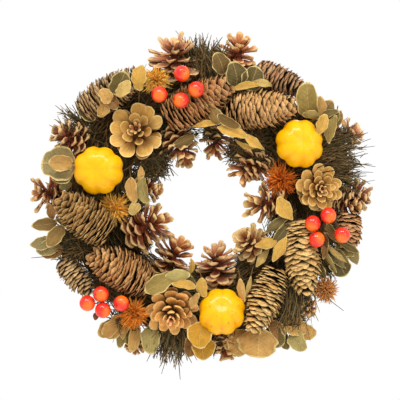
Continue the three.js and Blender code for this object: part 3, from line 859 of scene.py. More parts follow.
def rosette(name, seat, rings, light, replaces):
    """A wide open cone seen from its tip: rings of cupped scales, smaller towards the middle."""
    rng = seeded(name)
    mesh = Mesh()
    depth, radius = seat.length, seat.width / 2
    start = 0.0
    for scales, foot_at, knee_at, tip_at, wide, cup, colours in rings:
        start += 0.5 * 2 * np.pi / scales + 0.35
        azimuth = start + np.arange(scales) / scales * 2 * np.pi + 0.1 * rng.standard_normal(scales)
        grow = radius * (1 + 0.035 * rng.standard_normal(scales))
        raised = 1.1 * rng.standard_normal(scales)
        foot, knee, tip = (around(azimuth, grow * out, depth * up + raised * share)
                           for (out, up), share in ((foot_at, 0.0), (knee_at, 0.5), (tip_at, 1.0)))
        half_width = radius * wide * (1 + 0.08 * rng.standard_normal(scales))
        add_plates(mesh, PETAL_TEMPLATE, foot, knee, tip, side_of(azimuth), half_width,
                   lambda s: 0.36 + 0.64 * smoothstep(0.15, 0.66, s), lambda s: 1.9 - 0.3 * s,
                   varied(rng, colours, scales, 0.06) * light, cup=cup, wave=0.5, rng=rng)
    core_t = np.linspace(0, 1, 12)
    core_out = 0.3 * radius * np.sin(np.pi * core_t) ** 0.6 * (1.2 - 0.8 * core_t)
    add_lathe(mesh, core_out, depth * (0.02 + 0.86 * core_t), 14, srgb(66, 40, 22))
    build(name, mesh.moved(seat), PETAL, replaces=replaces)


# How far a rosette of twice the size would be lowered, in mm.
ROSETTE_DROP = 18
# Each rosette: heading, lean, rings, how its colours differ in red, green and blue, and its size.
ROSETTES = {
    "rosette_cone_upper_left": (118, 80, OPEN_RINGS, (0.96, 0.92, 0.8), 1.02),
    "rosette_cone_right": (350, 78, FULL_RINGS, (1.04, 0.99, 0.9), 0.96),
    "rosette_cone_bottom": (268, 62, FULL_RINGS, (1.34, 1.15, 1.1), 1.1),
}

for name, (heading, lean, colours, surface, openness, shift) in SPRUCE_CONES.items():
    seat = seat_of(name, heading, lean)
    seat.base += shift
    closing = 0.25 if surface is DARK_SPRUCE else 0.5
    spruce_cone(name + "_scales", seat, colours, surface, openness, closing, (name,))
gap_seat = Seat(CENTRE + [148, -32, -13], pointing(267, 8), 42, 30)
spruce_cone("spruce_cone_gap_right", gap_seat, TAWNY, SPRUCE, 66)
for name, (heading, lean, colours, shift, fingers, size) in PINE_CONES.items():
    seat = seat_of(name, heading, lean).grown(size)
    seat.base += shift
    pine_cone(name + "_scales", seat, colours, fingers, (name,))
for name, (x, z, y, heading, lean, length, width, colours) in EXTRA_PINE_CONES.items():
    seat = Seat(CENTRE + [x, y, z], pointing(heading, lean), length, width)
    pine_cone(name, seat, colours)
for name, (heading, lean, rings, light, size) in ROSETTES.items():
    seat = seat_of(name, heading, lean).grown(size)
    seat.base[2] -= ROSETTE_DROP * (size - 1)
    rosette(name + "_scales", seat, rings, light, (name,))


# ---------------------------------------------------------------- gourds and berries

GOURD_LOBES = 8
GOURD_SPECKS = 14
GOURD_YELLOW, SPECK_BROWN = srgb(255, 190, 0), srgb(110, 62, 14)


def speckled(points, radius, depth):
    """The skin's yellow with a few small brown specks on its front half."""
    rng = seeded("gourd specks")
    share = np.zeros(len(points))
    for turn, out in zip(rng.uniform(0, 2 * np.pi, GOURD_SPECKS),
                         rng.uniform(0.45, 0.95, GOURD_SPECKS)):
        away = np.hypot(points[:, 0] - out * radius * math.cos(turn),
                        points[:, 2] - out * radius * math.sin(turn))
        share += rng.uniform(0.5, 1.0) * np.exp(-(away / 0.8) ** 2) * (points[:, 1] > depth / 2)
    share = np.clip(share, 0, 1)[:, None]
    return GOURD_YELLOW * (1 - share) + SPECK_BROWN * share


def gourd(name, seat, eye, replaces):
    """A flattened gourd with soft lobes and a shallow hollow in front; its cut stem behind is built after
    it.
    """
    rng = seeded(name)
    mesh = Mesh()
    depth, radius = seat.length, seat.width / 2
    rise = np.linspace(-np.pi / 2, np.pi / 2, 46)
    out = radius * 1.03 * np.cos(rise) ** 0.72
    up = depth / 2 + depth / 2 * np.sin(rise)
    up -= 1.6 * np.exp(-(out / 6.5) ** 2) * (rise > 0)
    up += 3.0 * np.exp(-(out / 6.0) ** 2) * (rise < 0)
    turns = rng.uniform(0, 2 * np.pi, 3)

    def groove(turn):
        return np.cos(GOURD_LOBES * turn / 2 + 0.3 * np.sin(turn + turns[0])) ** 4

    def lobes(turn, along):
        fade = np.clip(np.sin(np.pi * along), 0, 1) * (1.0 - 0.15 * along)
        lumps = 0.016 * np.sin(2 * turn + turns[1]) + 0.012 * np.sin(3 * turn + turns[2] + 5 * along)
        return 1 - 0.085 * groove(turn) * fade + lumps

    points = add_lathe(mesh, out, up, 144, GOURD_YELLOW, lobes)
    turn = np.arctan2(points[:, 2], points[:, 0])
    low = 1 - np.clip(points[:, 1] / depth, 0, 1)
    # rim is painted shade: more in the grooves and towards the back of the gourd.
    rim = np.clip(0.32 * groove(turn) + 0.75 * low ** 2, 0, 1)
    if eye:
        from_axis = np.hypot(points[:, 0], points[:, 2])
        scar = 0.5 * np.exp(-(from_axis / 1.6) ** 2) * (points[:, 1] > depth / 2)
        rim = np.clip(rim + scar, 0, 1)
        mesh.tint[-1] = speckled(points, radius, depth)
    mesh.rim[-1] = rim
    build(name, mesh.moved(seat), GOURD, replaces=replaces, sharp=80)


# Each gourd: heading, lean, and if its eye and specks show.
GOURDS = {
    "gourd_left": (164, 80, False),
    "gourd_right": (30, 78, False),
    "gourd_bottom": (90, 66, True),
}
for name, (heading, lean, eye) in GOURDS.items():
    seat = seat_of(name, heading, lean)
    gourd(name + "_fruit", seat, eye, (name,))
    stub = Mesh()
    steps = shares(7)
    path = np.array([0.0, 3.5, 0.0]) + steps * np.array([1.5, -9.0, 1.0])
    add_strands(stub, path, 2.6 - 0.6 * steps[..., 0], srgb(122, 104, 60), 7, 0.4)
    build(name + "_stalk", stub.moved(seat), STEM)

RED, ORANGE = srgb(234, 34, 30), srgb(255, 122, 20)


def berry(name, node):
    """A lacquered berry, red on one side and orange on the other, with a dark blossom end."""
    rng = seeded(name)
    lo, hi = box_mm(node)
    radius = (hi - lo)[0] / 2
    axis = unit(np.array([rng.normal(), -0.4 + 0.3 * rng.normal(), 0.4 * rng.normal()]))
    seat = Seat((lo + hi) / 2 - axis * radius, axis, 2 * radius, 2 * radius)
    mesh = Mesh()
    rise = np.linspace(-np.pi / 2, np.pi / 2, 25)
    out = radius * np.cos(rise)
    up = radius + radius * 0.98 * np.sin(rise)
    up -= 0.9 * np.exp(-(out / 1.5) ** 2) * (rise > 0)
    points = add_lathe(mesh, out, up, 36, RED)
    towards = unit(np.array([0.6 * rng.normal(), -1.0, 0.5 * rng.normal() - 0.3]))
    blush = np.array([towards @ seat.across, towards @ seat.axis, towards @ seat.face])
    share = 0.9 * smoothstep(0.4, 1.0, (points - [0, radius, 0]) @ blush / radius)[:, None]
    mesh.tint[-1] = RED * (1 - share) + ORANGE * share
    mesh.rim[-1] = np.exp(-(np.hypot(points[:, 0], points[:, 2]) / 0.9) ** 2) * (points[:, 1] > radius)
    build(name, mesh.moved(seat), BERRY, replaces=(node,), sharp=80)


# Where each pick's stem forks and where it ends, by degrees and distance.
PICK_ROOTS = {"top": (102, 108), "right": (346, 122), "left": (225, 142)}
PICK_STEM_END = {"top": (108, 84), "right": (333, 141), "left": (232, 146)}
BERRIES_PER_PICK = 4
for side, root in PICK_ROOTS.items():
    rng = seeded(side)
    centres = []
    for i in range(1, BERRIES_PER_PICK + 1):
        node = f"berry_{side}_{i}"
        lo, hi = box_mm(node)
        centres.append((lo + hi) / 2)
        berry(node + "_fruit", node)
    centres = np.array(centres)
    fork = polar(*root, centres[:, 1].mean() + 9)
    steps = shares(10)
    sag = np.sin(np.pi * steps) * rng.normal(0, 1.0, (BERRIES_PER_PICK, 1, 3))
    mesh = Mesh()
    add_strands(mesh, fork + (centres - fork)[:, None] * steps + sag,
                0.6, srgb(104, 78, 48), 7, rng=rng)
    end = polar(*PICK_STEM_END[side], fork[1] + 14)
    trunk = fork + (end - fork) * steps + np.sin(np.pi * steps) * np.array([2.0, -2.0, 1.0])
    add_strands(mesh, trunk, 0.95, srgb(92, 70, 44), 7, rng=rng)
    build(f"berry_pick_{side}", mesh, STEM, replaces=(f"berry_stem_{side}",))


def bud():
    """A small dark bud on a thin stalk, below the left berries."""
    mesh = Mesh()
    seat = Seat(CENTRE + [-104.5, -56.0, -111.5], pointing(258, 8), 8.5, 5.8)
    share = np.linspace(0, 1, 14)
    out = seat.width / 2 * np.sin(np.pi * share ** 0.85) ** 0.7
    add_lathe(mesh, out, seat.length * share, 16, srgb(112, 74, 52),
              lambda turn, along: 1 + 0.1 * np.cos(5 * turn))
    stalk = np.array([0.0, 0.8, 0.0]) + shares(9) * np.array([-3.0, -20.0, -7.0])
    add_strands(mesh, stalk, 0.6, srgb(96, 70, 46), 7, 0.4)
    build("berry_bud_left", mesh.moved(seat), STEM, sharp=70)


bud()


# ---------------------------------------------------------------- thistles

THISTLE_BRISTLES = 380
THISTLE_HEART = srgb(104, 48, 18)


def thistle(name, node, colours, size):
    """A dried thistle head: a small ball that bristles all round, longest towards the front."""
    rng = seeded(name)
    lo, hi = box_mm(node)
    centre, radius = (lo + hi) / 2, (hi - lo)[0] / 2 * size
    mesh = Mesh()
    rise = np.linspace(-np.pi / 2, np.pi / 2, 14)
    ball = Mesh()
    core = 0.34 * radius
    points = add_lathe(ball, core * np.cos(rise), core * np.sin(rise), 16, THISTLE_HEART)
    mesh.add(points + centre, ball.quads[0], ball.triangles[0], THISTLE_HEART, ball.plate[0], 0.0)
    count = THISTLE_BRISTLES
    way = unit(rng.standard_normal((count, 3)))
    way[:, 1] = np.where(way[:, 1] > 0.45, -way[:, 1], way[:, 1])
    turn = unit(way + 0.26 * rng.standard_normal((count, 3)))
    length = radius * rng.uniform(0.5, 0.78, count)
    s = shares(6)
    curl = 0.16 * rng.standard_normal((count, 1, 3))
    paths = (centre + way[:, None] * core * 0.9
             + length[:, None, None] * (turn[:, None] * s + curl * s * s))
    thin = rng.uniform(0.55, 0.88, count)[:, None] * (1.0 - 0.75 * s[..., 0] ** 1.6)
    add_strands(mesh, paths, thin, varied(rng, colours, count, 0.12), 4, rng=rng)
    build(name, mesh, THISTLE, replaces=(node,), sharp=70)


FLAME = [(255, 200, 88), (255, 178, 70), (255, 216, 120)]
EMBER = [(232, 142, 50), (218, 116, 36), (240, 164, 72)]
RUST = [(216, 112, 36), (196, 88, 26), (232, 142, 54)]
HAZEL = [(216, 152, 92), (198, 130, 72), (226, 174, 118)]
# Each thistle's colours, and its size beside the CAD's ball.
THISTLES = {"thistle_top": (FLAME, 1.1), "thistle_left": (FLAME, 1.1), "thistle_right": (RUST, 1.22),
            "thistle_lower_left": (EMBER, 1.1), "thistle_lower_right": (HAZEL, 1.12)}
for name, (colours, size) in THISTLES.items():
    thistle(name + "_head", name, colours, size)


# ---------------------------------------------------------------- leaves

LEAF_TEMPLATE = Template(15, 17, 1.0)
OLIVE, DARK_OLIVE, BRONZE = srgb(110, 94, 54), srgb(88, 76, 44), srgb(136, 106, 60)
DEEP_OLIVE, UMBER_LEAF = srgb(98, 84, 48), srgb(120, 94, 54)
MOSS, MUSTARD = srgb(148, 126, 70), srgb(190, 140, 40)
TAN, OCHRE, SAND = srgb(204, 158, 94), srgb(208, 162, 78), srgb(202, 170, 104)
GREY_GREEN, LIGHT_GREEN, BROWN = srgb(144, 128, 88), srgb(168, 152, 98), srgb(156, 108, 64)


def add_leaf(mesh, rng, base, heading, lean, length, width, tint, point=0.0, turned=0.35):
    """Adds one dried leaf with its stalk end at `base`, its face to the front, bent and rolled."""
    tip_way = pointing(heading, lean)
    face = unit(FRONT - (FRONT @ tip_way) * tip_way)
    roll = turned * rng.normal()
    face = face * math.cos(roll) + np.cross(tip_way, face) * math.sin(roll)
    across = np.cross(tip_way, face)
    arch = rng.uniform(0.05, 0.2) * length
    tip = base + tip_way * length - face * rng.uniform(-0.1, 0.16) * length
    knee = base + tip_way * length * 0.5 + face * arch + across * rng.uniform(-0.14, 0.14) * length
    cup = rng.choice([-1.0, 1.0], p=[0.25, 0.75]) * rng.uniform(0.2, 0.5) * width / 2
    phase = rng.uniform(0, 2 * np.pi, 3)

    def outline(s):
        """An oval, narrower towards the tip, with an uneven edge; `point` draws in its ends."""
        oval = 1.0 - 0.12 * s + 0.1 * np.sin(np.pi * s) - point * abs(2 * s - 1) ** 1.4
        return oval * (1 + 0.06 * np.sin(9 * s + phase[0]) + 0.045 * np.sin(19 * s + phase[1]))

    add_plates(mesh, LEAF_TEMPLATE, base[None], knee[None], tip[None], across[None],
               np.array([width / 2]), outline, lambda s: 0.9 + 0 * s,
               tint[None] * rng.uniform(0.86, 1.1), cup=cup, wave=rng.uniform(0.5, 1.5), rng=rng)


# The sprays: their root, and each leaf's stalk end, heading, lean, length, width and colour, and
# for some how pointed it is.
SPRAYS = {
    "leaf_spray_left": [(160, 128), [
        (165, 130, 176, 8, 35, 33, GREY_GREEN), (168, 132, 196, 14, 22, 14, GREY_GREEN)]],
    "leaf_spray_lower_left": [(195, 136), [
        (189, 147, 186, 10, 26, 14, BRONZE, 0.35), (196, 150, 206, 16, 24, 16, GREY_GREEN),
        (199, 148, 200, 10, 22, 14, BROWN, 0.2)]],
    "leaf_spray_top": [(78, 120), [
        (80, 127, 112, 12, 24, 17, UMBER_LEAF), (73, 118, 100, 16, 26, 21, DEEP_OLIVE),
        (68, 118, 66, 10, 26, 22, DEEP_OLIVE)]],
    "leaf_spray_upper_right": [(38, 126), [
        (37, 136, 96, 10, 37, 22, MOSS), (33, 142, 66, 14, 25, 16, BRONZE),
        (29, 142, 60, 10, 24, 12, MOSS)]],
    "leaf_spray_right": [(348, 134), [
        (345, 139, 352, 14, 22, 18, BROWN), (342, 142, 330, 16, 22, 17, MOSS),
        (339, 133, 318, 8, 32, 14, GREY_GREEN, 0.3)]],
    "leaf_spray_lower_right": [(297, 138), [
        (304, 144, 330, 10, 28, 19, TAN), (298, 144, 300, 14, 24, 20, OLIVE),
        (292, 140, 270, 12, 26, 24, TAN), (286, 136, 236, 10, 24, 20, TAN)]],
    "leaf_spray_bottom_left": [(242, 134), [
        (248, 137, 270, 12, 28, 19, LIGHT_GREEN), (242, 142, 262, 14, 28, 12, TAN),
        (236, 142, 222, 10, 28, 20, TAN)]],
}

for node, ((root_degrees, root_distance), leaves) in SPRAYS.items():
    rng = seeded(node)
    lo, hi = box_mm(node)
    depth = (lo[1] + hi[1]) / 2 + 2
    mesh = Mesh()
    root = polar(root_degrees, root_distance, depth + 5)
    steps = shares(8)
    for degrees, distance, heading, lean, length, width, tint, *point in leaves:
        base = polar(degrees, distance, depth + rng.normal(0, 1.0))
        add_leaf(mesh, rng, base, heading, lean, length, width, tint, *point, turned=0.15)
        stalk = root + (base + pointing(heading, lean) * 2 - root) * steps
        add_strands(mesh, stalk + np.sin(np.pi * steps) * np.array([0.6, -1.2, 0.8]),
                    0.7, srgb(132, 98, 58), 6, rng=rng)
    build(node + "_leaves", mesh, LEAF, replaces=(node,), sharp=70)


# Loose leaves between the pieces: x and z of the middle, y, heading, lean, length, width, colour,
# and for some how pointed it is.
LOOSE_LEAVES = {
    "left": [
        (-140, 37, -63, 178, 8, 24, 17, TAN), (-136, 14, -50, 200, 10, 13, 10, LIGHT_GREEN),
        (-146, -36, -52, 232, 10, 27, 16, BRONZE, 0.3),
        (-140, -24, -44, 150, 8, 18, 9, BRONZE, 0.4), (-152, -12, -40, 100, 8, 18, 9, BROWN, 0.3),
        (-154, -49, -40, 205, 8, 20, 10, TAN, 0.3),
        (-161, -42, -42, 195, 8, 24, 13, GREY_GREEN, 0.3)],
    "upper_left": [
        (-115, 86, -44, 150, 10, 20, 13, DARK_OLIVE), (-96, 103, -62, 120, 20, 16, 13, TAN),
        (-99, 92, -56, 260, 10, 20, 14, TAN), (-89, 98, -58, 300, 10, 18, 12, BROWN),
        (-82, 116, -64, 60, 10, 26, 19, OLIVE), (-78, 110, -68, 50, 15, 20, 12, SAND),
        (-61, 121, -64, 85, 10, 26, 17, OCHRE)],
    "upper_right": [
        (44, 111, -58, 8, 5, 30, 8, OCHRE, 0.4), (60, 115, -58, 350, 5, 20, 8, SAND, 0.4),
        (130, 70, -54, 256, 8, 30, 12, MOSS, 0.3), (119, 75, -62, 250, 10, 22, 13, OCHRE, 0.2),
        (134, 80, -44, 60, 8, 22, 12, BRONZE), (109, 84, -56, 170, 8, 18, 9, MOSS, 0.3),
        (116, 92, -50, 80, 8, 24, 13, TAN), (127, 86, -50, 20, 8, 20, 9, OLIVE, 0.4)],
    "inner_top": [
        (13, 84, -66, 125, 6, 21, 13, BRONZE), (27, 79, -70, 335, 6, 27, 13, BRONZE),
        (5, 74, -60, 188, 6, 32, 7, OCHRE, 0.6), (30, 67, -64, 340, 6, 32, 14, OCHRE, 0.4),
        (51, 58, -66, 322, 6, 28, 9, OCHRE, 0.6), (44, 56, -60, 340, 6, 24, 6, OCHRE, 0.6),
        (-18, 59, -52, 25, 6, 25, 11, UMBER_LEAF, 0.2)],
    "inner_left": [
        (-69, 10, -50, 280, 6, 26, 12, TAN), (-56, 10, -52, 285, 10, 28, 18, LIGHT_GREEN),
        (-67, -9, -54, 240, 6, 14, 12, SAND), (-62, 24, -46, 265, 6, 20, 7, TAN, 0.4)],
    "inner_right": [
        (83, -8, -60, 300, 8, 27, 15, OCHRE, 0.4), (74, -24, -58, 215, 8, 30, 10, OLIVE, 0.4),
        (78, -34, -56, 232, 8, 28, 11, DARK_OLIVE, 0.4),
        (64, -42, -60, 190, 10, 24, 12, OCHRE, 0.2), (77, -49, -62, 240, 8, 28, 11, OCHRE, 0.3),
        (60, -58, -52, 235, 6, 22, 8, SAND, 0.3)],
    "right": [
        (138, -66, -38, 300, 8, 24, 21, DARK_OLIVE),
        (152, -54, -36, 290, 8, 24, 12, GREY_GREEN, 0.3),
        (118, -66, -44, 290, 8, 30, 12, OLIVE, 0.3), (134, -52, -50, 318, 8, 30, 6, SAND, 0.5),
        (146, -46, -50, 330, 8, 26, 7, OLIVE, 0.4), (122, -46, -48, 268, 8, 28, 8, BROWN, 0.4),
        (130, -32, -52, 300, 8, 22, 9, BRONZE, 0.3), (126, -60, -50, 300, 8, 30, 6, MOSS, 0.5)],
    "inner_bottom": [
        (-42, -82, -66, 32, 8, 34, 17, MOSS), (-24, -75, -68, 5, 6, 26, 12, LIGHT_GREEN),
        (-18, -84, -69, 350, 8, 24, 10, OCHRE), (-13, -66, -58, 85, 6, 17, 8, OCHRE),
        (1, -87, -60, 280, 10, 20, 11, OCHRE), (-8, -84, -58, 285, 6, 18, 5, DARK_OLIVE, 0.3),
        (-7, -100, -62, 60, 8, 18, 9, TAN, 0.2), (40, -90, -56, 280, 6, 24, 8, TAN),
        (46, -86, -54, 255, 6, 22, 5, SAND, 0.4)],
    "bottom": [
        (-1, -134, -58, 262, 20, 27, 24, MUSTARD), (0, -147, -48, 282, 15, 26, 24, MUSTARD),
        (-10, -146, -38, 250, 12, 24, 16, BROWN), (57, -143, -52, 266, 14, 30, 40, TAN),
        (38, -143, -38, 258, 12, 28, 23, TAN), (74, -132, -38, 300, 12, 24, 15, BROWN),
        (97, -141, -38, 300, 12, 24, 17, LIGHT_GREEN), (105, -131, -36, 330, 12, 21, 17, TAN),
        (84, -142, -32, 280, 10, 18, 10, OLIVE), (-81, -137, -34, 262, 8, 24, 10, MOSS),
        (-94, -129, -40, 215, 8, 24, 16, TAN), (-76, -128, -38, 250, 8, 26, 12, TAN, 0.2),
        (-72, -136, -34, 262, 8, 22, 12, MOSS)],
}

for place_name, leaves in LOOSE_LEAVES.items():
    rng = seeded("loose" + place_name)
    mesh = Mesh()
    for x, z, y, heading, lean, length, width, tint, *point in leaves:
        way = pointing(heading, lean)
        base = CENTRE + [x, y, z] - way * length / 2
        add_leaf(mesh, rng, base, heading, lean, length, width, tint, *point)
        stalk = base + way * 2 + shares(6) * (-way * 12 + np.array([0.0, 7.0, 0.0]))
        add_strands(mesh, stalk, 0.55, srgb(120, 88, 52), 6, rng=rng)
    build(f"loose_leaves_{place_name}", mesh, LEAF, sharp=70)


# ---------------------------------------------------------------- twigs and dry needles

RING_RADIUS = 110.0
RING_HALF_WIDTH = 30.0
RING_HALF_DEPTH = 12.5
RING_Y = -14.5
NEEDLE_COLOURS = [(124, 98, 64), (96, 80, 54), (148, 118, 80), (82, 84, 60),
                  (72, 60, 44)]
RING_TWIGS = 150
NEEDLES_PER_SECTOR = 720
FILLED_FROM, SHORTER_FROM, FILLED_TO = 74, 112, 140
SECTORS = 6


def twig_ring():
    """The ring itself: long twigs laid round and twisted together."""
    rng = seeded("twig_ring")
    mesh = Mesh()
    count, steps = RING_TWIGS, 44
    start = rng.uniform(0, 2 * np.pi, count)[:, None]
    sweep = rng.uniform(0.9, 2.4, count)[:, None]
    share = np.linspace(0, 1, steps)[None]
    turn = start + sweep * share
    lay = np.sqrt(rng.uniform(0.25, 1.0, count))[:, None]
    twist = rng.uniform(0, 2 * np.pi, count)[:, None] + rng.uniform(-1.6, 1.6, count)[:, None] * share
    wiggle = np.sin(turn * rng.uniform(5, 11, count)[:, None] + start * 7) * 1.6
    out = RING_RADIUS + (RING_HALF_WIDTH * lay - 1) * np.cos(twist) + wiggle
    deep = RING_Y + (RING_HALF_DEPTH * lay - 0.5) * np.sin(twist) + 0.5 * wiggle
    paths = CENTRE + around(turn, out, deep)
    thick = rng.uniform(1.1, 2.3, count)[:, None] * (1 - 0.45 * share) * (1 + 0.07 * np.sin(40 * turn))
    tint = varied(rng, [(108, 76, 40), (88, 62, 32), (126, 92, 52)], count, 0.12)
    add_strands(mesh, paths, thick, tint, 7, rng=rng)
    add_bundle(mesh)
    build("twig_ring", mesh, BARK, replaces=("twig_bundle",))


def add_bundle(mesh):
    """The heart of the ring: thin twigs pressed together, which wind round as ridges."""
    turns, around_steps = 300, 56
    turn = np.arange(turns)[:, None] / turns * 2 * np.pi
    angle = np.arange(around_steps)[None] / around_steps * 2 * np.pi
    ridge = 0.09 * np.cos(8 * angle + 11 * turn) + 0.06 * np.cos(13 * angle - 17 * turn)
    swell = 1 + ridge + 0.05 * np.sin(5 * turn + 2 * angle)
    out = RING_RADIUS + (RING_HALF_WIDTH - 5) * np.cos(angle) * swell
    deep = RING_Y + (RING_HALF_DEPTH - 4) * np.sin(angle) * swell
    points = CENTRE + around(turn, out, deep)
    ids = tube_ids(turns, around_steps, True)
    mesh.add(points.reshape(-1, 3), grid_quads(ids), NO_FACES, srgb(80, 58, 30),
             plates(angle / np.pi - 1, turn / 0.4 % 1, EVEN_TONE), 0.0)


def add_needles(mesh, rng, roots, ways, lengths, thickness=0.5, droop=0.2):
    """Adds a thin strand at each root along its way; `droop` is how far aside its tip may bend."""
    count = len(roots)
    s = shares(7)
    bend = droop * rng.triangular(-2.2, 0, 2.2, (count, 1, 3))
    bend[:, :, 1] *= 0.5
    paths = roots[:, None] + lengths[:, None, None] * (ways[:, None] * s + bend * s * s)
    thin = thickness * rng.uniform(0.75, 1.25, count)[:, None] * (1 - 0.6 * s[..., 0] ** 2)
    add_strands(mesh, paths, thin, varied(rng, NEEDLE_COLOURS, count, 0.15), 4, rng=rng)


def needle_filling():
    """Fine dry twig ends all round the ring, between the pieces."""
    wide = 360 // SECTORS
    for sector in range(SECTORS):
        rng = seeded(f"filling {sector}")
        mesh = Mesh()
        count = NEEDLES_PER_SECTOR
        turn = np.radians(rng.uniform(sector * wide, sector * wide + wide, count))
        distance = rng.uniform(FILLED_FROM, FILLED_TO, count)
        roots = CENTRE + around(turn, distance, rng.uniform(-36, -18, count))
        outward, along = around(turn, 1.0, np.zeros(count)), side_of(turn)
        swing = rng.triangular(-1, 0, 1, count)[:, None]
        sign = rng.choice([-1.0, 1.0], count)[:, None]
        lift = (distance[:, None] - 106) / 150
        ways = along * sign * np.cos(swing) + outward * (np.sin(swing) * 0.5 + lift)
        ways[:, 1] = rng.uniform(-0.25, 0.15, count)
        lengths = (rng.uniform(14, 30, count)
                   * (1 - 0.4 * smoothstep(SHORTER_FROM, FILLED_TO, distance)))
        add_needles(mesh, rng, roots, unit(ways), lengths)
        build(f"dry_needles_ring_{sector + 1}", mesh, NEEDLE, sharp=70)


# Tufts that show between the pieces and past the rim: x and z of the root, y, heading, fan in
# degrees, strands, longest length.
TUFTS = {
    "top": (8, 124, -34, 90, 22, 260, 30),
    "top_low": (-10, 132, -28, 98, 20, 200, 24),
    "upper_left": (-118, 68, -34, 138, 18, 90, 28),
    "right": (98, 38, -34, 21, 14, 360, 45),
    "right_edge": (122, 26, -30, 2, 18, 240, 32),
    "right_upper": (116, 50, -32, 4, 14, 240, 40),
    "left": (-112, -44, -32, 184, 12, 180, 32),
    "bottom": (-30, -118, -32, 266, 12, 320, 40),
    "lower_right": (96, -74, -38, 264, 12, 260, 46),
}

# Short tangled ends between the pieces and along the ring's inner edge: x and z of the middle,
# y, how far they spread sideways and upright, strands, longest length.
TANGLES = {
    "upper_left": (-50, 42, -30, 15, 17, 900, 20),
    "top_left": (-28, 66, -28, 18, 9, 420, 18),
    "top": (11, 67, -26, 8, 6, 200, 14),
    "top_right": (52, 56, -30, 17, 15, 700, 20),
    "inner_1_oclock": (36, 50, -28, 9, 10, 320, 16),
    "left": (-68, 4, -26, 10, 20, 520, 18),
    "lower_left": (-66, -38, -26, 12, 12, 420, 18),
    "bottom": (-2, -76, -22, 26, 8, 420, 18),
    "lower_right": (50, -64, -26, 12, 12, 460, 18),
    "right": (78, -6, -26, 8, 18, 360, 18),
    "outer_left": (-124, -45, -32, 16, 11, 700, 20),
    "outer_lower_left": (-92, -86, -34, 14, 13, 460, 20),
    "outer_bottom_left": (-78, -122, -32, 12, 9, 300, 18),
    "outer_bottom": (8, -134, -30, 26, 10, 520, 20),
    "outer_lower_right": (88, -116, -30, 16, 14, 420, 20),
    "outer_right": (124, -62, -34, 10, 12, 420, 18),
    "right_berries": (132, -32, -36, 8, 11, 260, 16),
    "outer_upper_right": (106, 76, -34, 12, 11, 420, 18),
    "bottom_middle": (13, -145, -26, 11, 7, 240, 14),
}


def tufts():
    """Fans of needles, each needle with a short fork."""
    for place_name, (x, z, y, heading, fan, count, longest) in TUFTS.items():
        rng = seeded("tuft " + place_name)
        mesh = Mesh()
        turn = np.radians(heading + fan * rng.triangular(-2, 0, 2, count))
        roots = CENTRE + [x, y, z] + rng.triangular(-2, 0, 2, (count, 3)) * [9, 4, 9]
        ways = unit(around(turn, 1.0, rng.normal(-0.12, 0.22, count)))
        lengths = longest * rng.uniform(0.45, 1.0, count)
        add_needles(mesh, rng, roots, ways, lengths, 0.62, 0.17)
        forks = rng.integers(count, size=count)
        share = rng.uniform(0.35, 0.8, count)[:, None]
        fork_roots = roots[forks] + ways[forks] * lengths[forks][:, None] * share
        fork_turn = turn[forks] + np.radians(rng.choice([-1, 1], count) * rng.uniform(20, 45, count))
        fork_ways = unit(around(fork_turn, 1.0, rng.normal(0, 0.2, count)))
        add_needles(mesh, rng, fork_roots, fork_ways, lengths[forks] * 0.22, 0.42, 0.1)
        build(f"dry_needles_{place_name}", mesh, NEEDLE, sharp=70)


def tangles():
    """Patches of short needles that lie every way."""
    for place_name, (x, z, y, wide, high, count, longest) in TANGLES.items():
        rng = seeded("tangle " + place_name)
        mesh = Mesh()
        roots = CENTRE + [x, y, z] + rng.triangular(-1.2, 0, 1.2, (count, 3)) * [wide, 9, high]
        ways = unit(rng.standard_normal((count, 3)) * [1.0, 0.35, 1.0])
        lengths = longest * rng.uniform(0.4, 1.0, count)
        add_needles(mesh, rng, roots - ways * lengths[:, None] / 2, ways, lengths, 0.48, 0.3)
        build(f"dry_tangle_{place_name}", mesh, NEEDLE, sharp=70)


# Single twigs that stand out past the rim: x, y and z of the root, the bend and the tip.
LOOSE_TWIGS = [
    [(-138, -38, -54), (-156, -42, -57), (-171, -40, -58)],
    [(110, -40, -84), (124, -43, -98), (142, -40, -111)],
]


def loose_twigs():
    """The single twigs, each bent once and thinner to its tip."""
    rng = seeded("loose twigs")
    mesh = Mesh()
    roots, bends, tips = (CENTRE + np.array(LOOSE_TWIGS, float)[:, i] for i in range(3))
    s = shares(12)
    paths = roots[:, None] * (1 - s) ** 2 + 2 * bends[:, None] * s * (1 - s) + tips[:, None] * s ** 2
    add_strands(mesh, paths, 0.62 - 0.32 * s[..., 0], srgb(84, 76, 58), 6, rng=rng)
    build("loose_twigs", mesh, NEEDLE, sharp=70)


twig_ring()
needle_filling()
tufts()
tangles()
loose_twigs()


# ---------------------------------------------------------------- wires

WIRE = 3.0
INNER_RIM, OUTER_RIM, BACK_RING = 90.0, 130.0, 110.0
RIM_Y, BACK_Y = 1.5, 8.0
TIES = 6
RIM_DROP_AT_EYES = 0.8
BINDING_TURNS = 12
BINDING_WIRE = 1.0
BINDING_REACH, BINDING_Y, BINDING_HALF_DEPTH = 33.5, -13.5, 19
LOOP_WIRE = 1.6
LOOP_HEIGHT, LOOP_HALF_WIDTH, LOOP_EYE = 24.0, 9.0, 3.2
EYE_SHARE = 0.38
EYE_START, EYE_SWEEP = -60, 240


def circle(radius, y):
    steps = 180
    return CENTRE + around(np.arange(steps) / steps * 2 * np.pi, radius, np.full(steps, y))


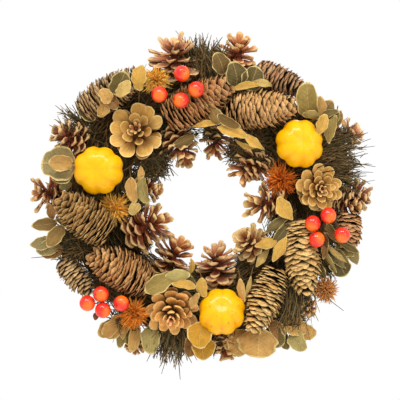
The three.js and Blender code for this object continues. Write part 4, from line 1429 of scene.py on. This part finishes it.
def frame_wires():
    """Two rims, the ring behind, and ties with a blob of weld at each end."""
    rng = seeded("frame")
    mesh = Mesh()
    paint = srgb(60, 72, 56)
    outer = OUTER_RIM - RIM_DROP_AT_EYES / 2
    for radius, y in ((INNER_RIM, RIM_Y), (outer, RIM_Y), (BACK_RING, BACK_Y)):
        add_ring(mesh, circle(radius, y), WIRE / 2, paint, 12)
    steps = np.linspace(0, 1, 9)
    thick = 1.2 + 0.7 * np.exp(-(steps / 0.1) ** 2) + 0.5 * np.exp(-((1 - steps) / 0.1) ** 2)
    for i in range(TIES):
        for rim in (INNER_RIM, OUTER_RIM):
            start = polar(360 / TIES * i, rim, RIM_Y)
            end = polar(360 / TIES * i, BACK_RING, BACK_Y - WIRE / 2)
            path = start + (end - start) * steps[:, None]
            add_strands(mesh, path[None], thick, paint, 9, rng=rng)
    build("frame_wires", mesh, FRAME_WIRE, replaces=("wire_frame",))


def binding():
    """One fine wire wound round the twigs and the rims."""
    rng = seeded("binding")
    mesh = Mesh()
    around_share = np.linspace(0.01, 0.99, BINDING_TURNS * 48)
    phase = 2 * np.pi * BINDING_TURNS * around_share - np.pi / 2
    square = lambda v: np.sign(v) * np.sqrt(abs(v))
    out = RING_RADIUS + BINDING_REACH * square(np.cos(phase))
    deep = BINDING_Y + BINDING_HALF_DEPTH * square(np.sin(phase))
    turn = 2 * np.pi * around_share
    path = CENTRE + around(turn, out, deep)
    add_strands(mesh, path[None], BINDING_WIRE / 2, srgb(120, 100, 70), 6, rng=rng)
    build("binding_winding", mesh, BINDING, replaces=("binding_wire",))


def loop_path():
    """One wire: an eye round the rim, up one side, over the top and down to the other eye."""
    points = []
    foot, top = RIM_Y - LOOP_EYE, LOOP_HEIGHT + RIM_DROP_AT_EYES + LOOP_WIRE / 2
    hinge = OUTER_RIM - RIM_DROP_AT_EYES
    for t in np.linspace(0, 1, 160):
        side, s = (-1 if t < 0.5 else 1), 1 - abs(2 * t - 1)
        if s < EYE_SHARE:
            turn = math.radians(EYE_START + s / EYE_SHARE * EYE_SWEEP)
            points.append((side * LOOP_HALF_WIDTH, RIM_Y + LOOP_EYE * math.cos(turn),
                           hinge - LOOP_EYE * math.sin(turn)))
            continue
        rise = (s - EYE_SHARE) / (1 - EYE_SHARE)
        if rise < 0.5:
            out, up = LOOP_HALF_WIDTH, rise / 0.5 * (top - LOOP_HALF_WIDTH)
        else:
            turn = (rise - 0.5) * math.pi
            out = LOOP_HALF_WIDTH * math.cos(turn)
            up = top - LOOP_HALF_WIDTH + LOOP_HALF_WIDTH * math.sin(turn)
        points.append((side * out, foot * (1 - up / top), hinge + up))
    return CENTRE + np.array(points)


def hanging_loop():
    """The loop, which rides on its own body."""
    mesh = Mesh()
    add_strands(mesh, loop_path()[None], LOOP_WIRE / 2, srgb(180, 178, 170), 12, EVEN_TONE)
    build("hanging_loop_wire", mesh, LOOP, body="loop", replaces=("hanging_loop",))


frame_wires()
binding()
hanging_loop()


# ---------------------------------------------------------------- floor, light and camera

# These are in metres, and the sensor in millimetres.
FLOOR_BELOW = 0.22
FLOOR_RADIUS = 0.9
VIEW_WIDTH = 0.400
VIEW_DISTANCE = 2.0
FOCUS_X, FOCUS_Y = -0.002, -0.045
SENSOR = 36.0


def floor():
    sides = 96
    turn = np.arange(sides) / sides * 2 * np.pi
    height = float(cad_lo[2]) - FLOOR_BELOW
    points = [(FLOOR_RADIUS * math.cos(a), FLOOR_RADIUS * math.sin(a), height) for a in turn]
    data = bpy.data.meshes.new("floor")
    data.from_pydata(points, [], [list(range(sides))])
    surface = bpy.data.materials.new("floor")
    surface.use_nodes = True
    shader = surface.node_tree.nodes["Principled BSDF"]
    shader.inputs["Base Color"].default_value = (0.86, 0.86, 0.85, 1)
    shader.inputs["Roughness"].default_value = 0.9
    data.materials.append(surface)
    placed("floor", data)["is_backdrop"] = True


def area_light(name, place, width, height, watts):
    data = bpy.data.lights.new(name, "AREA")
    data.shape, data.size, data.size_y = "RECTANGLE", width, height
    data.energy = watts
    obj = placed(name, data)
    obj.location = place
    middle = (cad_lo + cad_hi) / 2
    obj.rotation_euler = (middle - obj.location).to_track_quat("-Z", "Y").to_euler()


def studio():
    world = bpy.data.worlds.new("studio")
    bpy.context.scene.world = world
    world.use_nodes = True
    background = world.node_tree.nodes["Background"]
    background.inputs["Color"].default_value = (1, 1, 1, 1)
    background.inputs["Strength"].default_value = 1.0
    area_light("key", (-0.2, -1.1, 1.2), 1.6, 0.3, 30)
    area_light("fill", (1.2, -1.4, 0.3), 0.8, 0.8, 7)
    area_light("back", (0.5, 1.6, 0.9), 0.9, 0.9, 14)
    bpy.context.scene.view_settings.view_transform = "Standard"


def camera():
    data = bpy.data.cameras.new("camera")
    data.sensor_width = SENSOR
    data.lens = SENSOR * VIEW_DISTANCE / VIEW_WIDTH
    data.clip_start, data.clip_end = 0.1, 20
    obj = placed("camera", data)
    obj.location = (FOCUS_X, FOCUS_Y - VIEW_DISTANCE, float(CENTRE[2]) * MM)
    obj.rotation_euler = (math.pi / 2, 0, 0)
    bpy.context.scene.camera = obj


floor()
studio()
camera()

lo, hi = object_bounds()
